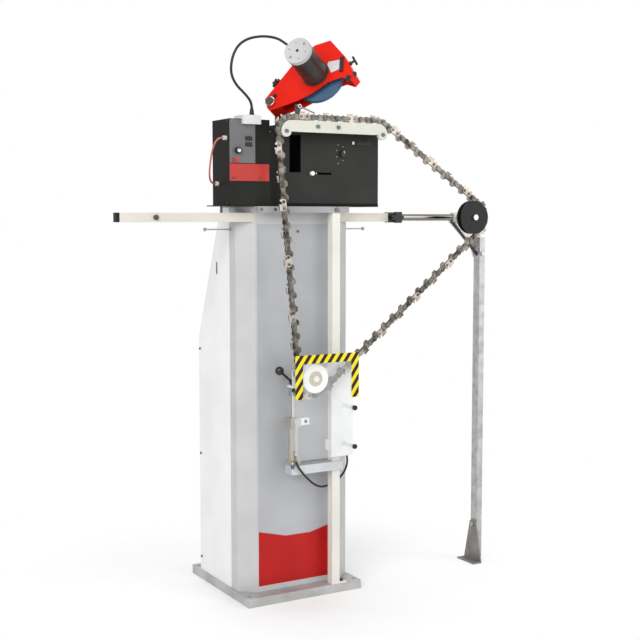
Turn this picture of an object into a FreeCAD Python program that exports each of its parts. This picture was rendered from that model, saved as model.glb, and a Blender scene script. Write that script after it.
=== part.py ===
import FreeCAD, Part
import math
import os

# Floor-standing electric sharpener for wide-pitch saw chain.
# Millimetres, +Z up, +X along the front towards the arm with the leg, +Y away from the operator.
# Origin: centre of the base plate's underside.

V = FreeCAD.Vector
os.makedirs("parts", exist_ok=True)

# General fits
GAP = 0.3
RUN_FIT = 0.05
SHEET = 1.5

# Base plate
BASE_W = 365.0
BASE_D = 384.0
BASE_T = 25.0
ANCHOR_SPACING = 340.0
ANCHOR_R = 6.0

# Column
COLUMN_HALF = 178.0
CORNER_X = 135.0
FRONT_Y = -146.0
CHAMFER_Y = -111.0
SEAM_Y = -73.0
COLUMN_TOP = 1106.0
REAR_Y = 140.0
REAR_KNEE_Z = 725.0
REAR_TOP_Y = -14.0
WINDOW_HALF = 128.0
WINDOW_TOP = 1060.0
WINDOW_SILL = 15.0
PANEL_T = 1.2
KICK_T = 1.0
KICK_TOP = 197.0
KICK_DIP = 22.0
KICK_DIP_HALF = 40.0
LATCH_Y = 12.0
LATCH_Z = 935.0
LATCH_W = 9.0
LATCH_H = 34.0
TOP_T = 3.0
LIP_Y = -192.0
LIP_X0 = -149.0
LIP_X1 = 138.0
LIP_DEPTH = 14.0

# Arms and post, all of the same square tube
TUBE = 25.0
TUBE_WALL = 2.0
ARM_Z = 1079.0
ARM_LEFT_X = -524.0
ARM_RIGHT_X = 303.0
ARM_CAP_T = 8.0
INNER_TUBE_R = 10.0
INNER_TUBE_WALL = 2.0
INNER_TUBE_X0 = 60.0
COLLAR_LEN = 33.0
COLLAR_R = 15.0
POST_X = 97.5
POST_Y = -179.5
POST_TOP = 1103.0
HOOK_R = 2.0
HOOK_HEAD_R = 5.0
HOOK_REACH = 75.0
HOOK_Z = 1046.0
HOOK_Y = -60.0

# Control boxes
BOX_FLOOR_T = 3.0
BOX_FRONT_Y = -170.0
BOX_DEPTH = 108.0
LEFT_BOX_X0 = -222.0
LEFT_BOX_X1 = -101.0
LEFT_BOX_TOP = 1343.0
RIGHT_BOX_X0 = -60.0
RIGHT_BOX_X1 = 250.0
RIGHT_BOX_TOP = 1318.0
FLOOR_FLANGE_X0 = -241.0
FACE_PANEL_T = 2.0
GREY_X0 = -222.0
GREY_X1 = -146.0
GREY_Z0 = 1225.0
GREY_Z1 = 1341.0
BAND_X0 = -222.0
BAND_X1 = -104.0
BAND_Z0 = 1177.0
BAND_Z1 = 1223.0

# Controls and connector block
ROCKER_X = -166.0
ROCKER_W = 20.0
ROCKER_H = 11.0
ROCKER_Z = (1291.0, 1275.0)
ROCKER_PROUD = 3.0
KNOB_AT = V(-199.0, 0, 1258.0)
KNOB_R = 9.0
KNOB_STEM_R = 3.0
BUTTON_AT = V(-206.0, 0, 1232.5)
BUTTON_R = 6.0
BUTTON_STEM_R = 3.5
BUTTON_TRAVEL = 2.5
DIAL_AT = V(130.0, 0, 1257.6)
DIAL_R = 9.0
DIAL_STEM_R = 3.0
SLIDER_AT = V(30.0, 0, 1201.0)
SLIDER_R = 6.0
SLIDER_STEM_R = 2.5
SLIDER_TRAVEL = 62.0
SLOT_X0 = -40.0
SLOT_X1 = -4.0
SLOT_Z0 = 1203.0
SLOT_Z1 = 1306.0
BLOCK_X0 = -187.0
BLOCK_X1 = -134.0
BLOCK_Y0 = -184.0
BLOCK_Y1 = -128.0
BLOCK_H = 10.0
BLOCK_LIP = 14.0

# Guide rail and vise
CHAIN_Y = -220.0
RAIL_T = 10.0
RAIL_H = 31.0
RAIL_TOP = 1341.0
RAIL_END_R = 30.0
RAIL_TIP_R = 15.0
RAIL_LEFT_X = -63.0
RAIL_RIGHT_X = 216.0
GROOVE_W = 2.8
RAIL_SCREW_R = 3.0
VISE_X0 = -86.0
VISE_X1 = 238.0
VISE_SHELF_T = 12.0
VISE_WEB_T = 8.0
JAW_X0 = -60.0
JAW_X1 = -8.0
PAWL_X = -30.0
PAWL_Z = 1380.0
PAWL_EYE_T = 8.0
PAWL_EYE_R = 6.0
PAWL_PIN_R = 3.0

# Saw chain
PITCH = 19.05
CHAIN_LINKS = 62
LINK_GAUGE = 2.0
STRAP_T = 1.8
STRAP_GAP = 0.15
STRAP_HALF_H = 8.0
STRAP_END_R = 8.0
TANG_DEPTH = 17.0
RIVET_R = 3.0
RIVET_HEAD_R = 4.4
RIVET_HEAD_T = 1.2
HOLE_PLAY = 0.2
CUTTER_H = 14.0
CUTTER_TOP_W = 5.6
CUTTER_TOP_T = 2.0
RAIL_RISE = 10.6

# Idler wheel at the end of the arm
IDLER_X = 553.0
IDLER_Z = ARM_Z
IDLER_FLANGE_R = 49.0
IDLER_PITCH_R = 49.0
WHEEL_W = 24.0
WHEEL_SLOT_W = 11.0
AXLE_R = 6.0

# Tension pulley, whose height closes the chain
PULLEY_X = 8.0
PULLEY_GUESS_Z = 637.0
PULLEY_R = 40.0
PULLEY_PITCH_R = 48.5
HUB_R = 21.5

# Leg
LEG_X = 649.0
LEG_W = 20.0
LEG_D = 30.0
LEG_WALL = 2.0
LEG_TOP = 1018.0
LEG_BOTTOM = 12.0
FOOT_W = 32.0
FOOT_D = 84.0
FOOT_H = 131.0
FOOT_TIP = 30.0
FOOT_T = 4.0
FOOT_BOLT_Z = 117.0
GUSSET_T = 5.0
FOOT_HOLE_R = 5.5
FOOT_HOLE_SPACING = 52.0

# Grinding head: a frame with its origin on the hinge, one axis along the motor
HEAD_PIVOT = V(-71.8, -120.0, 1396.7)
HEAD_SWIVEL = 36.0
HEAD_TILT = 22.0
HEAD_LIFT = 33.9
MOTOR_REACH = 146.7
MOTOR_R = 36.5
MOTOR_LEN = 112.0
CAP_T = 13.0
MOTOR_ENTRY_W = 104.0
MOTOR_ENTRY_ANGLE = 110.7
MOTOR_BOSS_R = 6.5
MOTOR_BOSS_TOP = 46.0
FLANGE_R = 39.5
FLANGE_T = 4.0
GUARD_DEPTH = 44.0
GUARD_WALL = 2.5
STONE_R = 72.5
STONE_T = 16.0
STONE_W = -30.0
STONE_PLAY = 2.0
SPINDLE_R = 6.0
PIVOT_R = 8.0
GUARD_EDGE_A = (-11.0, 18.0)
GUARD_EDGE_B = (98.0, 64.0)
GUARD_END_X = 240.0
STAR_SHARE = 0.49
STAR_R = 14.0
STAR_NECK = 6.5
STAR_H = 12.0
WING_Y = -20.0
STEM_R = 3.5
STEM_DEPTH = 8.0

# Tensioner on the post
BAR_Z = 373.0
BAR_X0 = -10.0
CYL_X = -35.0
CYL_Y = -180.0
CYL_R = 14.5
CYL_Z1 = 500.0
ROD_R = 5.0
ROD_TOP = 606.0
PLATE_Y = -200.0
PLATE_T = 5.0
SADDLE_T = 5.0
PLATE_X0 = 78.0
PLATE_X1 = 150.0
PLATE_Z0 = 400.0
PLATE_Z1 = 681.0
GUARD_Y = -252.0
GUARD_T = 3.0
GUARD_X0 = -69.0
GUARD_X1 = 153.0
GUARD_Z0 = 412.0
GUARD_Z1 = 703.0
STANDOFF_R = 4.0
LEVER_BALL = V(-78.0, -180.0, 655.0)
LEVER_BALL_R = 12.5
LEVER_ROD_R = 3.5
LEVER_EYE_R = 8.0

# Cords, whose routes are the points between which they run straight
MOTOR_CABLE_R = 3.5
MOTOR_CABLE_ROUTE = [
    V(-144, -148, 1374), V(-144, -148, 1390), V(-165, -150, 1412), V(-192, -152, 1433), V(-208, -155, 1458),
    V(-211, -159, 1484), V(-206, -163, 1513), V(-191, -168, 1540), V(-164, -174, 1557), V(-128, -180, 1564),
    V(-98, -184, 1563), V(-81, -190, 1557.6), V(-73.6, -205, 1547.4), V(-67.4, -221, 1536.4),
]
SIDE_HOSE_R = 2.5
SIDE_HOSE_ROUTE = [
    V(-231, -150, 1292), V(-241, -150, 1292), V(-250, -145, 1284), V(-255, -138, 1268), V(-257, -130, 1246),
    V(-257, -121, 1222), V(-255, -112, 1200), V(-250, -103, 1182), V(-240, -97, 1171), V(-229, -97, 1171),
]
AIR_HOSE_R = 3.0
AIR_HOSE_ROUTE = [
    V(-38, -199, 416), V(-38, -199, 401), V(-34, -205, 385), V(-22, -208, 367), V(-4, -206, 348),
    V(18, -199, 330), V(42, -186, 317), V(69, -169, 309), V(97, -157, 309), V(124, -157, 320),
    V(142, -161, 340), V(149, -167, 362), V(147, -173, 384), V(140, -178, 402), V(129, -178, 413),
    V(122, -169, 416), V(122, -154, 416),
]
ELBOW_HALF = 5.0


def box(x0, x1, y0, y1, z0, z1):
    """Block between two corners."""
    return Part.makeBox(x1 - x0, y1 - y0, z1 - z0, V(x0, y0, z0))


def rod(start, end, radius):
    """Round bar between two points."""
    line = end.sub(start)
    return Part.makeCylinder(radius, line.Length, start, line)


def ring(start, end, outer, inner):
    """Round tube between two points."""
    return rod(start, end, outer).cut(rod(start, end, inner))


def square_tube(x, y, z, length, direction):
    """Square tube of the machine's own section, centred on its start point."""
    half = TUBE / 2
    bore = half - TUBE_WALL
    if direction == "x":
        outer = box(x, x + length, y - half, y + half, z - half, z + half)
        return outer.cut(box(x, x + length, y - bore, y + bore, z - bore, z + bore))
    outer = box(x - half, x + half, y - half, y + half, z, z + length)
    return outer.cut(box(x - bore, x + bore, y - bore, y + bore, z, z + length))


def slab(points, thickness):
    """Flat plate: a closed outline of vectors, pushed along a thickness vector."""
    outline = Part.makePolygon(points + [points[0]])
    return Part.Face(outline).extrude(thickness)


def sheet_run(points, thickness, rise):
    """Bent sheet: an open plan outline of (x, y) points, thickened to its left, raised from z0 to z1."""
    count = len(points)
    offsets = []
    for i in range(count):
        before = V(*points[max(i - 1, 0)], 0)
        here = V(*points[i], 0)
        after = V(*points[min(i + 1, count - 1)], 0)
        first = here.sub(before) if i > 0 else after.sub(here)
        second = after.sub(here) if i < count - 1 else first
        first.normalize()
        second.normalize()
        bisector = V(-first.y - second.y, first.x + second.x, 0)
        scale = 2 * thickness / bisector.dot(bisector)
        offsets.append(here.add(bisector.multiply(scale)))
    low = [V(x, y, rise[0]) for x, y in points]
    low += [V(p.x, p.y, rise[0]) for p in reversed(offsets)]
    return slab(low, V(0, 0, rise[1] - rise[0]))


def hex_bolt(seat, direction, thread_r, grip):
    """Hexagon bolt: the head stands on its seat, the shank goes the other way."""
    outward = V(direction)
    outward.normalize()
    head_h = 1.3 * thread_r
    head_r = 1.85 * thread_r
    side = outward.cross(V(0, 0, 1))
    if side.Length < 0.1:
        side = V(1, 0, 0)
    side.normalize()
    up = outward.cross(side)
    corners = []
    for k in range(6):
        a = math.radians(60 * k)
        spoke = V(side).multiply(head_r * math.cos(a)).add(V(up).multiply(head_r * math.sin(a)))
        corners.append(seat.add(spoke))
    head = slab(corners, V(outward).multiply(head_h))
    if grip <= 0:
        return head
    return head.fuse(rod(seat, seat.sub(V(outward).multiply(grip)), thread_r)).removeSplitter()


def dome_screw(seat, direction, radius):
    """Low round screw head standing on its seat."""
    outward = V(direction)
    outward.normalize()
    head = Part.makeCylinder(radius, 0.8 * radius, seat, outward)
    slot = Part.makeCylinder(0.4 * radius, radius, seat.add(V(outward).multiply(0.4 * radius)), outward)
    return head.cut(slot)


def star_knob(seat, direction, radius, height, lobes):
    """Lobed clamping knob with a round hub."""
    outward = V(direction)
    outward.normalize()
    side = outward.cross(V(0, 0, 1))
    side.normalize()
    up = outward.cross(side)
    body = Part.makeCylinder(0.72 * radius, height, seat, outward)
    for k in range(lobes):
        a = 2 * math.pi * k / lobes
        spoke = V(side).multiply(math.cos(a)).add(V(up).multiply(math.sin(a)))
        centre = seat.add(spoke.multiply(0.72 * radius))
        body = body.fuse(Part.makeCylinder(0.28 * radius, height, centre, outward))
    return body.removeSplitter()


def cord_path(points):
    """Straight runs joined by tangent arcs; prints the radii and returns wire and length."""
    edges = []
    radii = []
    start = points[0]
    for i in range(1, len(points) - 1):
        before = points[i].sub(points[i - 1])
        after = points[i + 1].sub(points[i])
        shorter = min(before.Length, after.Length)
        turn = before.getAngle(after)
        reach = 0.45 * shorter
        radii.append(reach / math.tan(turn / 2))
        before.normalize()
        after.normalize()
        enter = points[i].sub(V(before).multiply(reach))
        leave = points[i].add(V(after).multiply(reach))
        chord = enter.add(leave).multiply(0.5)
        inward = chord.sub(points[i])
        inward.normalize()
        sag = radii[-1] / math.cos(turn / 2) - radii[-1]
        middle = points[i].add(inward.multiply(sag))
        edges.append(Part.LineSegment(start, enter).toShape())
        edges.append(Part.Arc(enter, middle, leave).toShape())
        start = leave
    edges.append(Part.LineSegment(start, points[-1]).toShape())
    return Part.Wire(edges), radii


def cord_tube(name, points, radius):
    """Flexible cord along a route of hand-chosen points."""
    wire, radii = cord_path(points)
    heading = points[1].sub(points[0])
    profile = Part.Wire(Part.makeCircle(radius, points[0], heading))
    tube = wire.makePipeShell([profile], True, False)
    expected = math.pi * radius ** 2 * wire.Length
    print(name, "length", round(wire.Length, 1), "radii", [round(r) for r in radii],
          "volume ratio", round(tube.Volume / expected, 4))
    return tube


def write(name, *solids):
    """One STEP file per sub-part; a group of separate pieces is a compound."""
    shape = solids[0] if len(solids) == 1 else Part.Compound(list(solids))
    shape.exportStep("parts/" + name + ".step")


# Base and column

def base_plate():
    plate = box(-BASE_W / 2, BASE_W / 2, -BASE_D / 2, BASE_D / 2, 0, BASE_T)
    half = ANCHOR_SPACING / 2
    for x in (-half, half):
        for y in (-half, half):
            plate = plate.cut(rod(V(x, y, 0), V(x, y, BASE_T), ANCHOR_R))
    return plate


def arm_clearance():
    """Room for the crossbar where it passes through the column's chamfers."""
    half = TUBE / 2 + GAP
    return box(-COLUMN_HALF - 1, COLUMN_HALF + 1, arm_y() - half, arm_y() + half, ARM_Z - half, ARM_Z + half)


def arm_y():
    """The crossbar lies just behind the front panel."""
    return FRONT_Y + SHEET + PANEL_T + GAP + TUBE / 2


def column_shell():
    outline = [(-COLUMN_HALF, SEAM_Y), (-COLUMN_HALF, CHAMFER_Y), (-CORNER_X, FRONT_Y),
               (CORNER_X, FRONT_Y), (COLUMN_HALF, CHAMFER_Y), (COLUMN_HALF, SEAM_Y)]
    shell = sheet_run(outline, SHEET, (BASE_T, COLUMN_TOP))
    window = box(-WINDOW_HALF, WINDOW_HALF, FRONT_Y - 1, FRONT_Y + SHEET + 1, BASE_T + WINDOW_SILL, WINDOW_TOP)
    return shell.cut(window).cut(arm_clearance())


def front_panel():
    edge = 5.0
    y0 = FRONT_Y + SHEET
    return box(-WINDOW_HALF - edge, WINDOW_HALF + edge, y0, y0 + PANEL_T,
               BASE_T + WINDOW_SILL - edge, WINDOW_TOP + edge)


def kick_panel():
    y0 = FRONT_Y + SHEET - KICK_T
    bottom = BASE_T + WINDOW_SILL + GAP
    half = WINDOW_HALF - GAP
    outline = [V(-half, y0, bottom), V(half, y0, bottom), V(half, y0, KICK_TOP),
               V(KICK_DIP_HALF, y0, KICK_TOP - KICK_DIP), V(-KICK_DIP_HALF, y0, KICK_TOP - KICK_DIP),
               V(-half, y0, KICK_TOP)]
    return slab(outline, V(0, KICK_T, 0))


def rear_cover():
    y0 = SEAM_Y + 2 * GAP
    knee = REAR_KNEE_Z

    def wedge(wall):
        slope = math.atan2(REAR_Y - REAR_TOP_Y, COLUMN_TOP - knee)
        drop = wall / math.cos(slope)
        drop_z = wall * math.tan(slope / 2)
        half = COLUMN_HALF - wall
        front = y0 - wall
        points = [V(-half, front, BASE_T), V(-half, REAR_Y - wall, BASE_T),
                  V(-half, REAR_Y - wall, knee - drop_z), V(-half, REAR_TOP_Y - drop, COLUMN_TOP),
                  V(-half, front, COLUMN_TOP)]
        return slab(points, V(2 * half, 0, 0))

    cover = wedge(0).cut(wedge(SHEET))
    slot = box(-COLUMN_HALF - 1, -COLUMN_HALF + SHEET + 1, LATCH_Y - LATCH_W / 2, LATCH_Y + LATCH_W / 2,
               LATCH_Z - LATCH_H / 2, LATCH_Z + LATCH_H / 2)
    return cover.cut(slot)


def top_plate():
    z0 = COLUMN_TOP
    plate = slab([V(-COLUMN_HALF, REAR_TOP_Y, z0), V(-COLUMN_HALF, CHAMFER_Y, z0), V(LIP_X0, FRONT_Y, z0),
                  V(LIP_X0, LIP_Y, z0), V(LIP_X1, LIP_Y, z0), V(LIP_X1, FRONT_Y, z0),
                  V(COLUMN_HALF, CHAMFER_Y, z0), V(COLUMN_HALF, REAR_TOP_Y, z0)], V(0, 0, TOP_T))
    lip = box(LIP_X0, LIP_X1, LIP_Y - TOP_T, LIP_Y, z0 - LIP_DEPTH, z0 + TOP_T)
    return plate.fuse(lip).removeSplitter()


def crossbar():
    return square_tube(ARM_LEFT_X, arm_y(), ARM_Z, ARM_RIGHT_X - ARM_LEFT_X, "x")


def arm_end_cap():
    half = TUBE / 2
    plug = half - TUBE_WALL - GAP
    face = box(ARM_LEFT_X - ARM_CAP_T, ARM_LEFT_X, arm_y() - half, arm_y() + half, ARM_Z - half, ARM_Z + half)
    stub = box(ARM_LEFT_X, ARM_LEFT_X + 12, arm_y() - plug, arm_y() + plug, ARM_Z - plug, ARM_Z + plug)
    return face.fuse(stub)


def chain_hooks():
    hooks = []
    for side in (-1, 1):
        root = V(side * COLUMN_HALF, HOOK_Y - 20, HOOK_Z)
        tip = V(side * (COLUMN_HALF + HOOK_REACH), HOOK_Y - 20, HOOK_Z)
        pin = rod(root, tip, HOOK_R)
        head = rod(tip, tip.add(V(side * 5, 0, 0)), HOOK_HEAD_R)
        washer = rod(root, root.add(V(side * 3, 0, 0)), HOOK_HEAD_R)
        hooks.append(pin.fuse(head).fuse(washer))
    return hooks


def rail_post():
    post = square_tube(POST_X, POST_Y, BASE_T + 4, POST_TOP - BASE_T - 4, "z")
    half = TUBE / 2
    foot = box(POST_X - half, POST_X + 36, POST_Y - half, POST_Y + half, BASE_T, BASE_T + 4)
    foot = foot.cut(rod(V(POST_X + 25, POST_Y, BASE_T), V(POST_X + 25, POST_Y, BASE_T + 4), 4.5))
    return [post, foot]


# Boxes on top of the column

def box_floor():
    z0 = COLUMN_TOP + TOP_T
    z1 = z0 + BOX_FLOOR_T
    y1 = BOX_FRONT_Y + BOX_DEPTH
    return box(FLOOR_FLANGE_X0, RIGHT_BOX_X1, BOX_FRONT_Y - 2, y1, z0, z1)


def hollow_case(x0, x1, z0, z1):
    y0 = BOX_FRONT_Y
    y1 = BOX_FRONT_Y + BOX_DEPTH
    inner = box(x0 + SHEET, x1 - SHEET, y0 + SHEET, y1 - SHEET, z0, z1 - SHEET)
    return box(x0, x1, y0, y1, z0, z1).cut(inner)


def box_base():
    return COLUMN_TOP + TOP_T + BOX_FLOOR_T


def left_box():
    case = hollow_case(LEFT_BOX_X0, LEFT_BOX_X1, box_base(), LEFT_BOX_TOP)
    for z in ROCKER_Z:
        case = case.cut(rocker_room(z))
    for centre, radius in ((KNOB_AT, KNOB_STEM_R), (BUTTON_AT, BUTTON_STEM_R)):
        case = case.cut(front_hole(centre, radius + GAP))
    return case


def right_box():
    case = hollow_case(RIGHT_BOX_X0, RIGHT_BOX_X1, box_base(), RIGHT_BOX_TOP)
    vent = box(SLOT_X0, SLOT_X1, BOX_FRONT_Y - 1, BOX_FRONT_Y + SHEET + 1, SLOT_Z0, SLOT_Z1)
    case = case.cut(vent).cut(front_hole(DIAL_AT, DIAL_STEM_R + GAP))
    half = SLIDER_STEM_R + GAP
    slit = box(SLIDER_AT.x - half, SLIDER_AT.x + SLIDER_TRAVEL + half, BOX_FRONT_Y - 1,
               BOX_FRONT_Y + SHEET + 1, SLIDER_AT.z - half, SLIDER_AT.z + half)
    return case.cut(slit)


# Controls on the box fronts

def panel_face():
    """Front of the thin panels on the left box."""
    return BOX_FRONT_Y - FACE_PANEL_T


def front_hole(centre, radius):
    start = V(centre.x, BOX_FRONT_Y - FACE_PANEL_T - 1, centre.z)
    return rod(start, V(centre.x, BOX_FRONT_Y + SHEET + 1, centre.z), radius)


def rocker_room(z):
    half_w = ROCKER_W / 2
    half_h = ROCKER_H / 2
    return box(ROCKER_X - half_w, ROCKER_X + half_w, panel_face() - 1, BOX_FRONT_Y + SHEET + 1,
               z - half_h, z + half_h)


def control_panel():
    panel = box(GREY_X0, GREY_X1, panel_face(), BOX_FRONT_Y, GREY_Z0, GREY_Z1)
    for z in ROCKER_Z:
        panel = panel.cut(rocker_room(z))
    panel = panel.cut(front_hole(KNOB_AT, KNOB_STEM_R + GAP))
    return panel.cut(front_hole(BUTTON_AT, BUTTON_STEM_R + GAP))


def red_band():
    return box(BAND_X0, BAND_X1, panel_face(), BOX_FRONT_Y, BAND_Z0, BAND_Z1)


def rocker(z):
    """Rocker cap: a shallow V front on a round back that turns about its own long axis."""
    half_w = ROCKER_W / 2 - 0.5
    half_h = ROCKER_H / 2 - 0.8
    y0 = panel_face()
    x0 = ROCKER_X - half_w
    outline = [V(x0, y0 - ROCKER_PROUD, z - half_h), V(x0, y0 - ROCKER_PROUD / 2, z),
               V(x0, y0 - ROCKER_PROUD, z + half_h), V(x0, y0 + 1.0, z + half_h),
               V(x0, y0 + 5.0, z + half_h * 0.6), V(x0, y0 + 5.0, z - half_h * 0.6),
               V(x0, y0 + 1.0, z - half_h)]
    return slab(outline, V(2 * half_w, 0, 0))


def turn_knob(centre, radius, face_y, stem_r):
    """Round knob with a pointer bar on its face and a stem into the box."""
    seat = V(centre.x, face_y - GAP, centre.z)
    cap = rod(seat, seat.sub(V(0, 9, 0)), radius)
    pointer = box(centre.x - 1.2, centre.x + 1.2, face_y - 11, face_y - 9, centre.z, centre.z + radius - 1)
    stem = rod(seat, seat.add(V(0, 12, 0)), stem_r)
    return cap.fuse(pointer).fuse(stem).removeSplitter()


def start_button():
    face = panel_face()
    seat = V(BUTTON_AT.x, face - BUTTON_TRAVEL - GAP, BUTTON_AT.z)
    cap = rod(seat, seat.sub(V(0, 5, 0)), BUTTON_R)
    return cap.fuse(rod(seat, seat.add(V(0, 12, 0)), BUTTON_STEM_R))


def slider_knob():
    seat = V(SLIDER_AT.x, BOX_FRONT_Y - GAP, SLIDER_AT.z)
    cap = rod(seat, seat.sub(V(0, 8, 0)), SLIDER_R)
    return cap.fuse(rod(seat, seat.add(V(0, 8, 0)), SLIDER_STEM_R))


def connector_block():
    block = box(BLOCK_X0, BLOCK_X1, BLOCK_Y0, BLOCK_Y1, LEFT_BOX_TOP, LEFT_BOX_TOP + BLOCK_H)
    lip = box(BLOCK_X0, BLOCK_X1, BLOCK_Y0, panel_face() - GAP, LEFT_BOX_TOP - BLOCK_LIP, LEFT_BOX_TOP)
    return block.fuse(lip).removeSplitter()


def control_board():
    """Circuit board on four pillars inside the left box."""
    y0 = BOX_FRONT_Y + 40
    board = box(LEFT_BOX_X0 + 12, LEFT_BOX_X1 - 12, y0, y0 + 2, box_base() + 20, LEFT_BOX_TOP - 40)
    foot = box(LEFT_BOX_X0 + 12, LEFT_BOX_X1 - 12, y0, y0 + 12, box_base(), box_base() + 20)
    heat_sink = box(LEFT_BOX_X0 + 30, LEFT_BOX_X0 + 70, y0 + 2, y0 + 22, box_base() + 60, box_base() + 130)
    return board.fuse(foot).fuse(heat_sink).removeSplitter()


# Guide rail and vise

def rail_outline(top, end_r, y):
    """Rail contour: flat top, quarter-round shoulders and round down-turned tips."""
    drop = top - RAIL_END_R
    tip = RAIL_TIP_R
    lx = RAIL_LEFT_X
    rx = RAIL_RIGHT_X
    reach = end_r
    c45 = math.sqrt(0.5)
    low = drop - 13
    under = top - RAIL_H
    edges = [
        Part.LineSegment(V(lx, y, top), V(rx, y, top)).toShape(),
        Part.Arc(V(rx, y, top), V(rx + reach * c45, y, drop + reach * c45), V(rx + reach, y, drop)).toShape(),
        Part.Arc(V(rx + reach, y, drop), V(rx + reach - tip, y, drop - tip), V(rx + reach - 2 * tip, y, drop)).toShape(),
        Part.LineSegment(V(rx + reach - 2 * tip, y, drop), V(rx - 14, y, under)).toShape(),
        Part.LineSegment(V(rx - 14, y, under), V(lx + 14, y, under)).toShape(),
        Part.LineSegment(V(lx + 14, y, under), V(lx - reach + 2 * tip, y, drop)).toShape(),
        Part.Arc(V(lx - reach + 2 * tip, y, drop), V(lx - reach + tip, y, drop - tip), V(lx - reach, y, drop)).toShape(),
        Part.Arc(V(lx - reach, y, drop), V(lx - reach * c45, y, drop + reach * c45), V(lx, y, top)).toShape(),
    ]
    return Part.Wire(Part.__sortEdges__(edges))


def rail_screw_places():
    tip_z = RAIL_TOP - RAIL_END_R
    tip_x = RAIL_END_R - RAIL_TIP_R
    return [(RAIL_LEFT_X - tip_x, tip_z), (19.0, RAIL_TOP - 15), (84.0, RAIL_TOP - 15),
            (RAIL_RIGHT_X + tip_x, tip_z)]


def guide_rail():
    y0 = CHAIN_Y - RAIL_T / 2
    rail = Part.Face(rail_outline(RAIL_TOP, RAIL_END_R, y0)).extrude(V(0, RAIL_T, 0))
    depth = TANG_DEPTH - RAIL_RISE + 2.5
    gy = CHAIN_Y - GROOVE_W / 2
    drop = RAIL_TOP - RAIL_END_R
    top_cut = box(RAIL_LEFT_X, RAIL_RIGHT_X, gy, gy + GROOVE_W, RAIL_TOP - depth, RAIL_TOP + 1)
    rail = rail.cut(top_cut)
    for x, side in ((RAIL_LEFT_X, -1), (RAIL_RIGHT_X, 1)):
        shoulder = rod(V(x, gy, drop), V(x, gy + GROOVE_W, drop), RAIL_END_R + 1)
        shoulder = shoulder.cut(rod(V(x, gy, drop), V(x, gy + GROOVE_W, drop), RAIL_END_R - depth))
        x_far = x + side * 2 * RAIL_END_R
        quarter = box(min(x, x_far), max(x, x_far), gy, gy + GROOVE_W, drop - 6, RAIL_TOP + 1)
        rail = rail.cut(shoulder.common(quarter))
    for x, z in rail_screw_places():
        rail = rail.cut(rod(V(x, y0, z), V(x, y0 + RAIL_T, z), RAIL_SCREW_R + GAP))
    return rail


def vise_base():
    """Cast ledge on the right box: carries the rail on its front web and the head bracket on its shelf."""
    back = CHAIN_Y + RAIL_T / 2
    web = box(VISE_X0, VISE_X1, back, back + VISE_WEB_T, RAIL_TOP - RAIL_H + 1, RAIL_TOP - 3)
    shelf = box(VISE_X0, VISE_X1, back, BOX_FRONT_Y + 70, RIGHT_BOX_TOP, RIGHT_BOX_TOP + VISE_SHELF_T)
    jaw = box(JAW_X0, JAW_X1, back, back + VISE_WEB_T, RIGHT_BOX_TOP, RAIL_TOP + RAIL_RISE + 6)
    post_y = pawl_y() + PAWL_EYE_T + GAP
    pawl_post = box(PAWL_X - 7, PAWL_X + 7, post_y, post_y + 7, RIGHT_BOX_TOP, PAWL_Z + 6)
    pawl_pin = rod(V(PAWL_X, pawl_y() - 1, PAWL_Z), V(PAWL_X, post_y, PAWL_Z), PAWL_PIN_R)
    ledge = web.fuse([shelf, jaw, pawl_post, pawl_pin])
    for x, z in rail_screw_places():
        ledge = ledge.cut(rod(V(x, back - 1, z), V(x, back + VISE_WEB_T + 1, z), RAIL_SCREW_R))
    return ledge.removeSplitter()


def chain_back():
    """Rear face of the chain, over the rivet heads."""
    return CHAIN_Y + LINK_GAUGE / 2 + STRAP_GAP + STRAP_T + RIVET_HEAD_T + 0.2


def pawl_y():
    """Front face of the pawl's eye, behind the chain."""
    return chain_back() + 4


def feed_pawl():
    """Thin steel finger that pushes the next cutter, hung on a pin of the vise ledge."""
    y0 = pawl_y()
    start = V(PAWL_X, y0 + 3, PAWL_Z)
    tip = V(PAWL_X + 46, y0, RAIL_TOP + RAIL_RISE + 12)
    finger = rod(start, tip, 2.0)
    eye = rod(V(PAWL_X, y0, PAWL_Z), V(PAWL_X, y0 + PAWL_EYE_T, PAWL_Z), PAWL_EYE_R)
    bore = rod(V(PAWL_X, y0 - 1, PAWL_Z), V(PAWL_X, y0 + PAWL_EYE_T + 1, PAWL_Z), PAWL_PIN_R + RUN_FIT)
    return finger.fuse(eye).cut(bore).removeSplitter()


# Saw chain

def tangent_side(c0, r0, c1, r1):
    """Outer tangent of two circles of a clockwise loop, as its two touch points (x, z)."""
    dx = c1[0] - c0[0]
    dz = c1[1] - c0[1]
    span = math.hypot(dx, dz)
    heading = math.atan2(dz, dx)
    lean = math.asin((r0 - r1) / span)
    normal = heading + math.pi / 2 - lean
    nx = math.cos(normal)
    nz = math.sin(normal)
    return (c0[0] + r0 * nx, c0[1] + r0 * nz), (c1[0] + r1 * nx, c1[1] + r1 * nz), normal


def chain_circles(pulley_z):
    end_z = RAIL_TOP - RAIL_END_R
    end_r = RAIL_END_R + RAIL_RISE
    return [((PULLEY_X, pulley_z), PULLEY_PITCH_R), ((RAIL_LEFT_X, end_z), end_r),
            ((RAIL_RIGHT_X, end_z), end_r), ((IDLER_X, IDLER_Z), IDLER_PITCH_R)]


def chain_segments(pulley_z):
    """Clockwise loop round pulley, rail and idler: lines and arcs with their lengths."""
    circles = chain_circles(pulley_z)
    sides = [tangent_side(*circles[i], *circles[(i + 1) % 4]) for i in range(4)]
    segments = []
    for i in range(4):
        p0, p1, normal = sides[i]
        segments.append(("line", p0, p1, math.dist(p0, p1)))
        centre, radius = circles[(i + 1) % 4]
        turn = (normal - sides[(i + 1) % 4][2]) % (2 * math.pi)
        segments.append(("arc", centre, radius, normal, radius * turn))
    return segments


def loop_length(pulley_z):
    return sum(segment[-1] for segment in chain_segments(pulley_z))


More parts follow.
